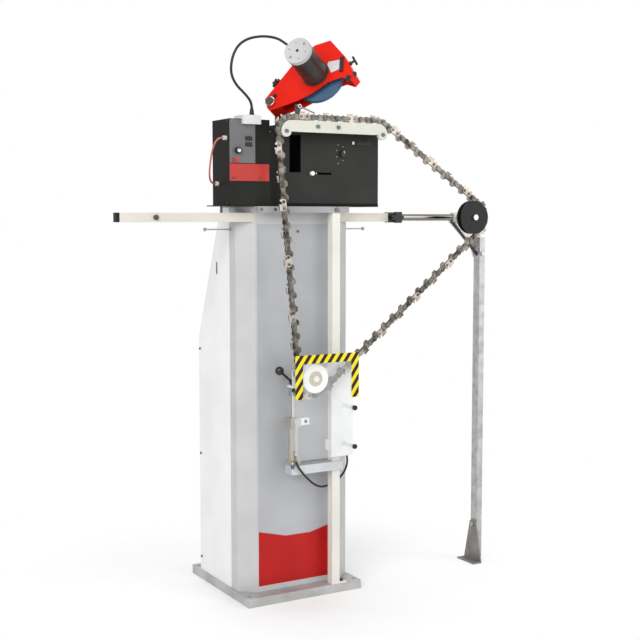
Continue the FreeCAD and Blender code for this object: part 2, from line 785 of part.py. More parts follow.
def solve_pulley_z():
    """Height at which the loop is exactly as long as the chain."""
    target = 2 * PITCH * CHAIN_LINKS
    low = PULLEY_GUESS_Z - 150
    high = PULLEY_GUESS_Z + 150
    for _ in range(60):
        middle = (low + high) / 2
        if loop_length(middle) > target:
            low = middle
        else:
            high = middle
    return (low + high) / 2


PULLEY_Z = solve_pulley_z()
SEGMENTS = chain_segments(PULLEY_Z)
LOOP = sum(segment[-1] for segment in SEGMENTS)


def loop_point(distance):
    """Point of the pitch line, as (x, z), at a distance along the loop."""
    left = distance % LOOP
    for segment in SEGMENTS:
        if left <= segment[-1]:
            break
        left -= segment[-1]
    if segment[0] == "line":
        _, p0, p1, length = segment
        share = left / length
        return p0[0] + (p1[0] - p0[0]) * share, p0[1] + (p1[1] - p0[1]) * share
    _, centre, radius, normal, _ = segment
    angle = normal - left / radius
    return centre[0] + radius * math.cos(angle), centre[1] + radius * math.sin(angle)


def link_placement(index):
    """Frame between rivets index and index + 1: X along the link, Z outwards, Y along the rivets."""
    x0, z0 = loop_point(index * PITCH)
    x1, z1 = loop_point((index + 1) * PITCH)
    angle = math.degrees(math.atan2(z1 - z0, x1 - x0))
    middle = V((x0 + x1) / 2, CHAIN_Y, (z0 + z1) / 2)
    return FreeCAD.Placement(middle, FreeCAD.Rotation(V(0, -1, 0), angle))


def plate_between(points, y0, thickness):
    return slab([V(x, y0, z) for x, z in points], V(0, thickness, 0))


def rivet_holes(solid, radius):
    for x in (-PITCH / 2, PITCH / 2):
        solid = solid.cut(rod(V(x, -20, 0), V(x, 20, 0), radius))
    return solid


def drive_link():
    half = PITCH / 2
    points = [(-half - 6.5, 5.5), (-half + 4, 6.5), (half - 4, 6.5), (half + 6.5, 5.5),
              (half + 6.5, -4), (half - 1, -TANG_DEPTH + 4), (half - 5, -TANG_DEPTH),
              (-half + 4, -TANG_DEPTH), (-half + 1, -TANG_DEPTH + 6), (-half - 6.5, -4)]
    link = plate_between(points, -LINK_GAUGE / 2, LINK_GAUGE)
    return rivet_holes(link, RIVET_R + HOLE_PLAY)


def strap_blank(y0):
    half = PITCH / 2
    h = STRAP_HALF_H
    r = STRAP_END_R
    points = [(-half - r + 3, -h + 2), (-half + 1, -h), (half - 1, -h), (half + r - 3, -h + 2),
              (half + r - 1, 0), (half + r - 3, h - 2), (half - 1, h), (3.5, h - 2.5), (-3.5, h - 2.5),
              (-half + 1, h), (-half - r + 3, h - 2), (-half - r + 1, 0)]
    return plate_between(points, y0, STRAP_T)


def inner_face():
    return LINK_GAUGE / 2 + STRAP_GAP


def plain_strap(side):
    """Strap with two open holes on one side of the drive links."""
    y0 = inner_face() if side > 0 else -inner_face() - STRAP_T
    return rivet_holes(strap_blank(y0), RIVET_R + HOLE_PLAY)


def riveted_strap(side):
    """Strap that carries both rivets: shanks through the links, a formed head at each end."""
    y0 = inner_face() if side > 0 else -inner_face() - STRAP_T
    strap = strap_blank(y0)
    outer = inner_face() + STRAP_T
    near = outer
    far = outer + 0.1
    for x in (-PITCH / 2, PITCH / 2):
        strap = strap.fuse(rod(V(x, -side * (far + RIVET_HEAD_T), 0), V(x, side * (near + RIVET_HEAD_T), 0), RIVET_R))
        strap = strap.fuse(rod(V(x, -side * far, 0), V(x, -side * (far + RIVET_HEAD_T), 0), RIVET_HEAD_R))
        strap = strap.fuse(rod(V(x, side * near, 0), V(x, side * (near + RIVET_HEAD_T), 0), RIVET_HEAD_R))
    return strap.removeSplitter()


def cutter(side):
    """Chisel cutter: strap, depth gauge in front, side plate and overhanging top plate behind."""
    y0 = inner_face() if side > 0 else -inner_face() - STRAP_T
    half = PITCH / 2
    h = STRAP_HALF_H
    r = STRAP_END_R
    top = CUTTER_H
    points = [(-half - r + 3, -h + 2), (-half + 1, -h), (half - 1, -h), (half + r - 3, -h + 2),
              (half + r - 1, 0), (half + r - 1.5, h + 3), (half + 3, h + 4.2), (half - 1, h - 2),
              (half - 5, h - 3), (half - 7.5, h + 1), (half - 5.5, top), (-half - 4, top - 1.2),
              (-half - r + 2, h - 2), (-half - r + 1, 0)]
    body = rivet_holes(plate_between(points, y0, STRAP_T), RIVET_R + HOLE_PLAY)
    outer = y0 + STRAP_T if side > 0 else y0
    inner = outer - side * CUTTER_TOP_W
    low = min(outer, inner)
    front = half - 5.5
    top_plate_points = [V(front, low, top), V(-half - 4, low, top - 1.2),
                        V(-half - 4, low, top - 1.2 - CUTTER_TOP_T), V(front - 1.2, low, top - CUTTER_TOP_T)]
    return body.fuse(slab(top_plate_points, V(0, CUTTER_TOP_W, 0))).removeSplitter()


def chain_parts():
    """Drive links on even rivet pairs; cutters and straps take turns on the odd pairs."""
    link = drive_link()
    left_cutter = cutter(-1)
    right_cutter = cutter(1)
    straps = {side: plain_strap(side) for side in (-1, 1)}
    riveted = {side: riveted_strap(side) for side in (-1, 1)}
    links = []
    cutters = []
    ties = []
    for k in range(CHAIN_LINKS):
        links.append(placed(link, link_placement(2 * k)))
        seat = link_placement(2 * k + 1)
        if k % 4 == 0:
            cutters.append(placed(left_cutter, seat))
            ties.append(placed(riveted[1], seat))
        elif k % 4 == 2:
            cutters.append(placed(right_cutter, seat))
            ties.append(placed(riveted[-1], seat))
        else:
            ties.append(placed(riveted[1], seat))
            ties.append(placed(straps[-1], seat))
    return links, cutters, ties


def placed(shape, placement):
    copy = shape.copy()
    copy.Placement = placement
    return copy


# Wheels of the chain path

def strap_seat(pitch_r):
    """Rim radius that just clears the straight lower edge of a strap lying on it."""
    return pitch_r * math.cos(math.asin(PITCH / 2 / pitch_r)) - STRAP_HALF_H - GAP


def tang_seat(pitch_r):
    """Groove radius that clears the drive links' tangs."""
    return pitch_r * math.cos(math.asin(PITCH / 2 / pitch_r)) - TANG_DEPTH - 2 * GAP


def grooved_wheel(x, z, pitch_r, flange_r, width, bore_r):
    """Wheel of stacked discs: a core under the tangs, two strap rims and two flanges."""
    steps = [
        (GROOVE_W / 2, WHEEL_SLOT_W / 2, min(flange_r, strap_seat(pitch_r))),
        (WHEEL_SLOT_W / 2, width / 2, flange_r),
    ]
    discs = [ring(V(x, CHAIN_Y - GROOVE_W / 2, z), V(x, CHAIN_Y + GROOVE_W / 2, z), tang_seat(pitch_r), bore_r)]
    for side in (-1, 1):
        for inner, outer, radius in steps:
            discs.append(ring(V(x, CHAIN_Y + side * inner, z), V(x, CHAIN_Y + side * outer, z), radius, bore_r))
    return discs


def idler_wheel():
    return grooved_wheel(IDLER_X, IDLER_Z, IDLER_PITCH_R, IDLER_FLANGE_R, WHEEL_W, AXLE_R + RUN_FIT)


def tension_pulley():
    return grooved_wheel(PULLEY_X, PULLEY_Z, PULLEY_PITCH_R, PULLEY_R, WHEEL_W, HUB_R)


def pulley_hub():
    y0 = CHAIN_Y - WHEEL_W / 2
    y1 = CHAIN_Y + WHEEL_W / 2
    return ring(V(PULLEY_X, y0, PULLEY_Z), V(PULLEY_X, y1, PULLEY_Z), HUB_R, AXLE_R + RUN_FIT)


# Telescopic arm, corner bracket and leg

def inner_tube():
    start = V(INNER_TUBE_X0, arm_y(), ARM_Z)
    end = V(LEG_X - 40, arm_y(), ARM_Z)
    return ring(start, end, INNER_TUBE_R, INNER_TUBE_R - INNER_TUBE_WALL)


def corner_gusset():
    """Bracket at the arm's end: sleeve on the tube, plate to the leg, and an outrigger for the idler axle."""
    y = arm_y()
    sleeve = ring(V(IDLER_X - 10, y, ARM_Z), V(IDLER_X + 40, y, ARM_Z), INNER_TUBE_R + 5, INNER_TUBE_R + RUN_FIT)
    back = y + INNER_TUBE_R + 5
    plate = slab([V(IDLER_X - 10, back - 1, ARM_Z - 12), V(IDLER_X + 40, back - 1, ARM_Z + 12),
                  V(LEG_X + 12, back - 1, LEG_TOP + 4), V(LEG_X + 12, back - 1, LEG_TOP - 62),
                  V(LEG_X - 10, back - 1, LEG_TOP - 62), V(LEG_X - 20, back - 1, LEG_TOP - 30)],
                 V(0, GUSSET_T, 0))
    boss = rod(V(IDLER_X, y - INNER_TUBE_R - 12, ARM_Z), V(IDLER_X, y - INNER_TUBE_R + 1, ARM_Z), 11)
    bore = rod(V(IDLER_X, y - INNER_TUBE_R - 13, ARM_Z), V(IDLER_X, y - INNER_TUBE_R - 1, ARM_Z), AXLE_R)
    tube_room = rod(V(IDLER_X - 30, y, ARM_Z), V(IDLER_X + 45, y, ARM_Z), INNER_TUBE_R + RUN_FIT)
    return sleeve.fuse(plate).fuse(boss).cut(bore).cut(tube_room).removeSplitter()


def leg_y():
    """The leg stands in front of the corner plate."""
    return arm_y() + INNER_TUBE_R + 4 - LEG_D / 2


def leg_tube():
    x = LEG_W / 2
    y = LEG_D / 2
    outer = box(LEG_X - x, LEG_X + x, leg_y() - y, leg_y() + y, LEG_BOTTOM, LEG_TOP)
    x -= LEG_WALL
    y -= LEG_WALL
    return outer.cut(box(LEG_X - x, LEG_X + x, leg_y() - y, leg_y() + y, LEG_BOTTOM, LEG_TOP))


def foot_bracket():
    """Floor plate with two bolt holes and a tapered upright plate against the leg's left face."""
    x1 = LEG_X - LEG_W / 2
    y = leg_y()
    foot = box(x1 - FOOT_W, x1, y - FOOT_D / 2, y + FOOT_D / 2, 0, FOOT_T)
    for hole_x, hole_y in foot_holes():
        foot = foot.cut(rod(V(hole_x, hole_y, 0), V(hole_x, hole_y, FOOT_T), FOOT_HOLE_R))
    x0 = x1 - FOOT_T
    tip = FOOT_TIP / 2
    upright = slab([V(x0, y - FOOT_D / 2, FOOT_T), V(x0, y + FOOT_D / 2, FOOT_T),
                    V(x0, y + tip, FOOT_H - tip / 2), V(x0, y + tip / 2, FOOT_H),
                    V(x0, y - tip / 2, FOOT_H), V(x0, y - tip, FOOT_H - tip / 2)],
                   V(FOOT_T, 0, 0))
    return foot.fuse(upright).removeSplitter()


def foot_holes():
    x = LEG_X - LEG_W / 2 - (FOOT_T + FOOT_W) / 2
    return [(x, leg_y() + side * FOOT_HOLE_SPACING / 2) for side in (-1, 1)]


def idler_axle():
    """Shoulder bolt on which the idler wheel turns, fixed in the corner bracket's boss."""
    front = CHAIN_Y - WHEEL_W / 2 - GAP
    end = arm_y() - INNER_TUBE_R - 1.5
    shaft = rod(V(IDLER_X, front, IDLER_Z), V(IDLER_X, end, IDLER_Z), AXLE_R)
    head = hex_bolt(V(IDLER_X, front, IDLER_Z), V(0, -1, 0), 5, 0)
    collar_y = CHAIN_Y + WHEEL_W / 2 + GAP
    collar = rod(V(IDLER_X, collar_y, IDLER_Z), V(IDLER_X, arm_y() - INNER_TUBE_R - 12, IDLER_Z), 10)
    return shaft.fuse(head).fuse(collar).removeSplitter()


def leg_bolts():
    """Bolts of the corner plate and the foot, and the black diagonal strut's fixing."""
    y_plate = arm_y() + INNER_TUBE_R + 4 + GUSSET_T
    bolts = []
    for z in (LEG_TOP - 18, LEG_TOP - 45):
        bolts.append(hex_bolt(V(LEG_X, y_plate, z), V(0, 1, 0), 4, 0))
    bolts.append(hex_bolt(V(LEG_X, leg_y() - LEG_D / 2, LEG_TOP - 50), V(0, -1, 0), 4, 0))
    bolts.append(hex_bolt(V(LEG_X - LEG_W / 2 - FOOT_T, leg_y(), FOOT_BOLT_Z), V(-1, 0, 0), 4, 0))
    return bolts


# Clamp of the telescopic arm

def clamp_collar():
    x0 = ARM_RIGHT_X
    sleeve = ring(V(x0, arm_y(), ARM_Z), V(x0 + COLLAR_LEN, arm_y(), ARM_Z), COLLAR_R, INNER_TUBE_R + RUN_FIT)
    boss_x = x0 + COLLAR_LEN - 11
    boss = rod(V(boss_x, arm_y() - COLLAR_R - 8, ARM_Z), V(boss_x, arm_y() - INNER_TUBE_R - 2, ARM_Z), 9)
    bore = rod(V(boss_x, arm_y() - COLLAR_R - 9, ARM_Z), V(boss_x, arm_y(), ARM_Z), 4 + RUN_FIT)
    room = rod(V(x0 - 1, arm_y(), ARM_Z), V(x0 + COLLAR_LEN + 1, arm_y(), ARM_Z), INNER_TUBE_R + RUN_FIT)
    return sleeve.fuse(boss).cut(bore).cut(room).removeSplitter()


def clamp_knob():
    x = ARM_RIGHT_X + COLLAR_LEN - 11
    face = arm_y() - COLLAR_R - 8 - GAP
    knob = star_knob(V(x, face, ARM_Z), V(0, -1, 0), 18, 14, 6)
    return knob.fuse(rod(V(x, face, ARM_Z), V(x, arm_y() - INNER_TUBE_R - GAP, ARM_Z), 4)).removeSplitter()


# Grinding head, built in its own frame: X towards the motor, Z along the motor axis

def head_placement():
    swivel = math.radians(HEAD_SWIVEL)
    tilt = math.radians(HEAD_TILT)
    lift = math.radians(HEAD_LIFT)
    along = V(-math.cos(tilt) * math.cos(swivel), -math.cos(tilt) * math.sin(swivel), math.sin(tilt))
    level = V(math.sin(swivel), -math.cos(swivel), 0)
    rise = along.cross(level)
    reach = V(level).multiply(math.cos(lift)).add(V(rise).multiply(math.sin(lift)))
    normal = along.cross(reach)
    matrix = FreeCAD.Matrix(reach.x, normal.x, along.x, HEAD_PIVOT.x,
                            reach.y, normal.y, along.y, HEAD_PIVOT.y,
                            reach.z, normal.z, along.z, HEAD_PIVOT.z,
                            0, 0, 0, 1)
    return FreeCAD.Placement(matrix)


HEAD = head_placement()


def on_head(shape):
    return placed(shape, HEAD)


def guard_outline():
    """Outline of the wheel guard's plates, seen along the motor axis."""
    points = [(-16, -12), GUARD_EDGE_A, GUARD_EDGE_B, (150, 80), (184, 80), (226, 66), (GUARD_END_X, -6),
              (GUARD_END_X, -74), (222, -81), (204, -58), (165, -47), (110, -50), (70, -46), (-12, -24)]
    return [V(x, y, 0) for x, y in points]


def star_seat():
    """Seat and outward direction of the star knob, square to the guard's long upper edge."""
    start = V(*GUARD_EDGE_A, 0)
    edge = V(*GUARD_EDGE_B, 0).sub(start)
    outward = V(-edge.y, edge.x, 0)
    outward.normalize()
    seat = start.add(edge.multiply(STAR_SHARE))
    return V(seat.x, seat.y, -GUARD_DEPTH / 3), outward


def wing_seat():
    return V(GUARD_END_X, WING_Y, -GUARD_DEPTH / 2)


def head_guard():
    """Wheel housing, open below, with the hinge sleeve at its low end."""
    block = slab(guard_outline(), V(0, 0, -GUARD_DEPTH))
    room_depth = GUARD_DEPTH - 2 * GUARD_WALL
    wheel_room = rod(V(MOTOR_REACH, 0, -GUARD_WALL), V(MOTOR_REACH, 0, -GUARD_WALL - room_depth),
                     STONE_R + STONE_PLAY)
    mouth = slab([V(x, y, -GUARD_WALL) for x, y in ((72, -30), (70, -95), (214, -95), (228, -72), (226, -10),
                                                    (146, 0))], V(0, 0, -room_depth))
    arm_room = slab([V(x, y, -GUARD_WALL) for x, y in ((22, -60), (74, -60), (74, 34), (22, 17))],
                    V(0, 0, -room_depth))
    guard = block.cut(wheel_room).cut(mouth).cut(arm_room)
    guard = guard.cut(rod(V(MOTOR_REACH, 0, 1), V(MOTOR_REACH, 0, -GUARD_WALL - 1), SPINDLE_R + 3))
    guard = guard.fuse(rod(V(0, 0, 4), V(0, 0, -GUARD_DEPTH - 4), PIVOT_R + 6))
    guard = guard.cut(rod(V(0, 0, 5), V(0, 0, -GUARD_DEPTH - 5), PIVOT_R + RUN_FIT))
    seat, outward = star_seat()
    guard = guard.cut(rod(seat.add(outward), seat.sub(V(outward).multiply(STEM_DEPTH + 1)), STEM_R + RUN_FIT))
    end = wing_seat()
    guard = guard.cut(rod(end.add(V(1, 0, 0)), end.sub(V(STEM_DEPTH + 1, 0, 0)), STEM_R + RUN_FIT))
    return on_head(guard.removeSplitter())


def motor_side(depth):
    """Point on the radius of the motor where its cable enters, at a depth from the motor's axis."""
    lean = math.radians(MOTOR_ENTRY_ANGLE)
    return V(MOTOR_REACH + depth * math.cos(lean), depth * math.sin(lean), MOTOR_ENTRY_W)


def motor_housing():
    """Flange, can and the short boss where the cable enters."""
    base = rod(V(MOTOR_REACH, 0, 0), V(MOTOR_REACH, 0, FLANGE_T), FLANGE_R)
    can = rod(V(MOTOR_REACH, 0, FLANGE_T), V(MOTOR_REACH, 0, MOTOR_LEN), MOTOR_R)
    bore = rod(V(MOTOR_REACH, 0, -1), V(MOTOR_REACH, 0, 30), SPINDLE_R + RUN_FIT)
    boss = rod(motor_side(MOTOR_R - 6), motor_side(MOTOR_BOSS_TOP), MOTOR_BOSS_R)
    return on_head(base.fuse(can).fuse(boss).cut(bore).removeSplitter())


def motor_cap():
    cap = rod(V(MOTOR_REACH, 0, MOTOR_LEN), V(MOTOR_REACH, 0, MOTOR_LEN + CAP_T), MOTOR_R + 0.8)
    top = MOTOR_LEN + CAP_T
    cap = cap.cut(rod(V(MOTOR_REACH, 0, top - 6), V(MOTOR_REACH, 0, top + 1), 4.5))
    for k in range(6):
        a = math.radians(60 * k + 15)
        radius = 4.0 if k % 3 == 0 else 2.0
        at = V(MOTOR_REACH + 25 * math.cos(a), 25 * math.sin(a), top - 5)
        cap = cap.cut(rod(at, at.add(V(0, 0, 6)), radius))
    return on_head(cap)


def eye_shield():
    """Clear window over the wheel, beside the motor."""
    points = [V(192, 12, 0), V(226, -8, 0), V(228, -30, 0), V(214, -44, 0), V(182, -36, 0), V(190, -10, 0)]
    return on_head(slab(points, V(0, 0, 2)))


def guard_star_knob():
    """Knob that clamps the guard's cover, on its stem in the guard's edge."""
    seat, outward = star_seat()
    face = seat.add(V(outward).multiply(STAR_NECK))
    knob = star_knob(face, outward, STAR_R, STAR_H, 6)
    stem = rod(face, seat.sub(V(outward).multiply(STEM_DEPTH)), STEM_R)
    return on_head(knob.fuse(stem).removeSplitter())


def wing_screw():
    """Wing screw that holds the shield, on its stem in the guard's end."""
    seat = wing_seat().add(V(GAP, 0, 0))
    stem = rod(seat.sub(V(STEM_DEPTH, 0, 0)), seat.add(V(14, 0, 0)), STEM_R)
    collar = rod(seat, seat.add(V(5, 0, 0)), STEM_R + 2.5)
    wing = box(seat.x + 13, seat.x + 19, seat.y - 14, seat.y + 14, seat.z - 3, seat.z + 3)
    return on_head(stem.fuse(collar).fuse(wing).removeSplitter())


def motor_spindle():
    """Shaft end with the wheel's seat and clamping nut, through the guard."""
    shaft = rod(V(MOTOR_REACH, 0, 25), V(MOTOR_REACH, 0, STONE_W - STONE_T / 2 - 2.5), SPINDLE_R)
    seat_low = STONE_W + STONE_T / 2
    seat = rod(V(MOTOR_REACH, 0, seat_low), V(MOTOR_REACH, 0, seat_low + 4), 22)
    return on_head(shaft.fuse(seat).removeSplitter())


def grinding_wheel():
    z0 = STONE_W - STONE_T / 2
    z1 = STONE_W + STONE_T / 2
    stone = rod(V(MOTOR_REACH, 0, z0), V(MOTOR_REACH, 0, z1), STONE_R)
    bevel = Part.makeCone(STONE_R - 6, STONE_R + 2, 4, V(MOTOR_REACH, 0, z0 - 1), V(0, 0, 1))
    skirt = ring(V(MOTOR_REACH, 0, z0 - 1), V(MOTOR_REACH, 0, z0 + 3), STONE_R + 3, STONE_R - 7)
    stone = stone.cut(skirt.cut(bevel))
    return on_head(stone.cut(rod(V(MOTOR_REACH, 0, z0), V(MOTOR_REACH, 0, z1), SPINDLE_R)))


def head_bracket():
    """Fork that stands on the vise ledge and holds the hinge shaft beyond both ends of the sleeve."""
    top = RIGHT_BOX_TOP + VISE_SHELF_T
    ear = on_head(rod(V(0, 0, -GUARD_DEPTH - 12), V(0, 0, -GUARD_DEPTH - 5), 15))
    low = HEAD.multVec(V(0, 0, -GUARD_DEPTH - 8.5))
    foot_at = V(low.x + 6, low.y + 6, top)
    pillar = rod(V(foot_at.x, foot_at.y, top), V(low.x + 4, low.y + 4, low.z), 12)
    pad = box(foot_at.x - 22, foot_at.x + 26, foot_at.y - 18, foot_at.y + 14, top, top + 6)
    shaft = on_head(rod(V(0, 0, 8), V(0, 0, -GUARD_DEPTH - 10), PIVOT_R))
    nose = on_head(rod(V(0, 0, 4 + GAP), V(0, 0, 10), PIVOT_R + 3))
    sleeve_room = on_head(rod(V(0, 0, 5), V(0, 0, -GUARD_DEPTH - 4 - GAP), PIVOT_R + 6 + 2 * GAP))
    body = ear.fuse(pillar).fuse(pad).cut(sleeve_room)
    return body.fuse(shaft).fuse(nose).removeSplitter()


# Chain tensioner on the post

def tension_bar():
    """Clamp block round the post with the bar that carries the air cylinder."""
    half = TUBE / 2 + GAP
    x1 = POST_X + half + 6
    bar = box(BAR_X0 - 40, x1, POST_Y - half - 6, POST_Y + half + 6, BAR_Z - TUBE / 2, BAR_Z + TUBE / 2)
    post_room = box(POST_X - half, POST_X + half, POST_Y - half, POST_Y + half, BAR_Z - 20, BAR_Z + 20)
    return bar.cut(post_room)


def air_cylinder():
    base = BAR_Z + TUBE / 2
    barrel = rod(V(CYL_X, CYL_Y, base + 8), V(CYL_X, CYL_Y, CYL_Z1), CYL_R)
    rear_cap = box(CYL_X - 15, CYL_X + 15, CYL_Y - 15, CYL_Y + 15, base, base + 14)
    head_cap = box(CYL_X - 16, CYL_X + 16, CYL_Y - 16, CYL_Y + 16, CYL_Z1 - 6, CYL_Z1 + 20)
    bore = rod(V(CYL_X, CYL_Y, base + 20), V(CYL_X, CYL_Y, CYL_Z1 + 21), ROD_R + RUN_FIT)
    port = AIR_HOSE_ROUTE[0]
    elbow = box(port.x - ELBOW_HALF, port.x + ELBOW_HALF, port.y - ELBOW_HALF, CYL_Y - CYL_R + 3,
                port.z, port.z + 2 * ELBOW_HALF)
    return barrel.fuse([rear_cap, head_cap, elbow]).cut(bore).removeSplitter()


def cylinder_rod():
    start = V(CYL_X, CYL_Y, BAR_Z + 70)
    shaft = rod(start, V(CYL_X, CYL_Y, ROD_TOP), ROD_R)
    block = box(CYL_X - 10, CYL_X + 10, CYL_Y - 10, CYL_Y + 10, ROD_TOP - 24, ROD_TOP)
    return shaft.fuse(block).removeSplitter()


def carriage_plate():
    """Plate with its arm, the bridge on the rod, the pulley's axle, and the sides of the two saddles."""
    half = TUBE / 2 + GAP
    y0 = PLATE_Y
    y1 = PLATE_Y + PLATE_T
    corner = 30.0
    outline = [V(PLATE_X0, y0, PLATE_Z0), V(PLATE_X1, y0, PLATE_Z0), V(PLATE_X1, y0, PLATE_Z1),
               V(PLATE_X0 + corner, y0, PLATE_Z1)]
    edges = [Part.LineSegment(outline[i], outline[i + 1]).toShape() for i in range(3)]
    c45 = math.sqrt(0.5)
    middle = V(PLATE_X0 + corner - corner * c45, y0, PLATE_Z1 - corner + corner * c45)
    edges.append(Part.Arc(outline[3], middle, V(PLATE_X0, y0, PLATE_Z1 - corner)).toShape())
    edges.append(Part.LineSegment(V(PLATE_X0, y0, PLATE_Z1 - corner), outline[0]).toShape())
    plate = Part.Face(Part.Wire(edges)).extrude(V(0, PLATE_T, 0))
    arm = box(CYL_X - 12, PLATE_X0 + 10, y0, y1, PULLEY_Z - 24, PULLEY_Z + 24)
    foot = box(CYL_X - 12, CYL_X + 12, y0, y1, ROD_TOP, PULLEY_Z + 24)
    bridge = box(CYL_X - 12, CYL_X + 12, y1, CYL_Y + 12, ROD_TOP, ROD_TOP + 6)
    axle = rod(V(PULLEY_X, CHAIN_Y - WHEEL_W / 2 - GAP, PULLEY_Z), V(PULLEY_X, y0, PULLEY_Z), AXLE_R)
    stop = rod(V(PULLEY_X, CHAIN_Y + WHEEL_W / 2 + GAP, PULLEY_Z), V(PULLEY_X, y0, PULLEY_Z), 11)
    nut = hex_bolt(V(PULLEY_X, CHAIN_Y - WHEEL_W / 2 - GAP, PULLEY_Z), V(0, -1, 0), 5, 0)
    saddles = []
    for z in (PLATE_Z0 + 30, PLATE_Z1 - 60):
        for x in (POST_X - half - SADDLE_T, POST_X + half):
            saddles.append(box(x, x + SADDLE_T, y1, POST_Y + half, z - 15, z + 15))
        saddles.append(box(POST_X - half - SADDLE_T, POST_X + half + SADDLE_T, POST_Y + half,
                           POST_Y + half + SADDLE_T, z - 15, z + 15))
    sheet = plate.fuse([arm, foot]).removeSplitter()
    bolt = axle.fuse([stop, nut]).removeSplitter()
    return [sheet, bridge, bolt] + saddles


def chain_guard():
    """Clear sheet in front of the pulley, with a hole for each standoff."""
    guard = box(GUARD_X0, GUARD_X1, GUARD_Y - GUARD_T, GUARD_Y, GUARD_Z0, GUARD_Z1)
    for x, z in standoff_places():
        guard = guard.cut(rod(V(x, GUARD_Y - GUARD_T, z), V(x, GUARD_Y, z), STANDOFF_R + GAP))
    return guard


def standoff_places():
    x = POST_X + 23
    return [(x, PLATE_Z0 + 146), (x, PLATE_Z0 + 36)]


def guard_standoffs():
    """Long screws from the carriage plate, each with a shoulder behind the guard and a head in front."""
    pieces = []
    for x, z in standoff_places():
        screw = rod(V(x, PLATE_Y, z), V(x, GUARD_Y - GUARD_T, z), STANDOFF_R)
        shoulder = rod(V(x, GUARD_Y, z), V(x, GUARD_Y + 4, z), STANDOFF_R + 3)
        head = rod(V(x, GUARD_Y - GUARD_T - 4, z), V(x, GUARD_Y - GUARD_T, z), STANDOFF_R + 3)
        foot = rod(V(x, PLATE_Y - 6, z), V(x, PLATE_Y, z), STANDOFF_R + 2)
        pieces.append(screw.fuse(shoulder).fuse(head).fuse(foot).removeSplitter())
    return pieces


def lever_pivot():
    return V(CYL_X - 3, CYL_Y, ROD_TOP + 14)


def ball_lever():
    """Release lever with a ball, turned as one piece, on an eye at the carriage's arm."""
    pivot = lever_pivot()
    eye = rod(V(pivot.x, CYL_Y - 8, pivot.z), V(pivot.x, CYL_Y + 4, pivot.z), LEVER_EYE_R)
    reach = LEVER_BALL.sub(V(pivot.x, CYL_Y, pivot.z))
    length = reach.Length
    neck = math.sqrt(LEVER_BALL_R ** 2 - LEVER_ROD_R ** 2)
    profile = Part.Wire([
        Part.LineSegment(V(0, 0, 0), V(LEVER_ROD_R, 0, 0)).toShape(),
        Part.LineSegment(V(LEVER_ROD_R, 0, 0), V(LEVER_ROD_R, 0, length - neck)).toShape(),
        Part.Arc(V(LEVER_ROD_R, 0, length - neck), V(LEVER_BALL_R, 0, length),
                 V(0, 0, length + LEVER_BALL_R)).toShape(),
        Part.LineSegment(V(0, 0, length + LEVER_BALL_R), V(0, 0, 0)).toShape()])
    turned = Part.Face(profile).revolve(V(0, 0, 0), V(0, 0, 1), 360)
    turned.Placement = FreeCAD.Placement(V(pivot.x, CYL_Y, pivot.z), FreeCAD.Rotation(V(0, 0, 1), reach))
    return eye.fuse(turned).removeSplitter()


# Cords

def fittings():
    """Strain relief of the motor cable and the small fittings of the side hose."""
    top = LEFT_BOX_TOP + BLOCK_H
    first = MOTOR_CABLE_ROUTE[0]
    gland = Part.makeCone(7.5, MOTOR_CABLE_R + 1, first.z - top, V(first.x, first.y, top), V(0, 0, 1))
    pieces = [gland]
    for point in (SIDE_HOSE_ROUTE[0], SIDE_HOSE_ROUTE[-1]):
        pieces.append(rod(V(LEFT_BOX_X0, point.y, point.z), V(point.x, point.y, point.z), 6))
    end = AIR_HOSE_ROUTE[-1]
    pieces.append(rod(V(end.x, FRONT_Y + SHEET, end.z), V(end.x, end.y, end.z), 6))
    return pieces


# Fasteners of the fixed frame

def frame_screws():
    """Screws and bolts that stay with the fixed frame, each standing on its seat."""
    pieces = []
    back = CHAIN_Y + RAIL_T / 2
    for x, z in rail_screw_places():
        front = V(x, CHAIN_Y - RAIL_T / 2, z)
        pieces.append(hex_bolt(front, V(0, -1, 0), RAIL_SCREW_R, RAIL_T + VISE_WEB_T - 1))
    for z in (66.0, 380.0, 693.0):
        pieces.append(dome_screw(V(-COLUMN_HALF, REAR_Y - 10, z), V(-1, 0, 0), 3.5))
    pieces.append(dome_screw(V(0, FRONT_Y + SHEET, 1040), V(0, -1, 0), 3.5))
    for x in (BAND_X0 + 12, BAND_X1 - 26):
        pieces.append(dome_screw(V(x, panel_face(), BAND_Z0 + 8), V(0, -1, 0), 3))
    for z in (1117.0, LEFT_BOX_TOP - 6):
        pieces.append(dome_screw(V(LEFT_BOX_X0, -160, z), V(-1, 0, 0), 3))
    pieces.append(hex_bolt(V(POST_X, LIP_Y - TOP_T, COLUMN_TOP - 6), V(0, -1, 0), 3.5, 0))
    pieces.append(hex_bolt(V(POST_X + 25, POST_Y, BASE_T + 4), V(0, 0, 1), 4, 4))
    arm_top = ARM_Z + TUBE / 2
    pieces.append(hex_bolt(V(-424, arm_y() - TUBE / 2, ARM_Z), V(0, -1, 0), 4, 0))
    pieces.append(rod(V(-229, arm_y(), arm_top), V(-229, arm_y(), COLUMN_TOP + TOP_T), 3.5))
    for x in (-140.0, -98.0):
        pieces.append(dome_screw(V(x, LIP_Y - TOP_T, COLUMN_TOP - 5), V(0, -1, 0), 3.5))
    return pieces


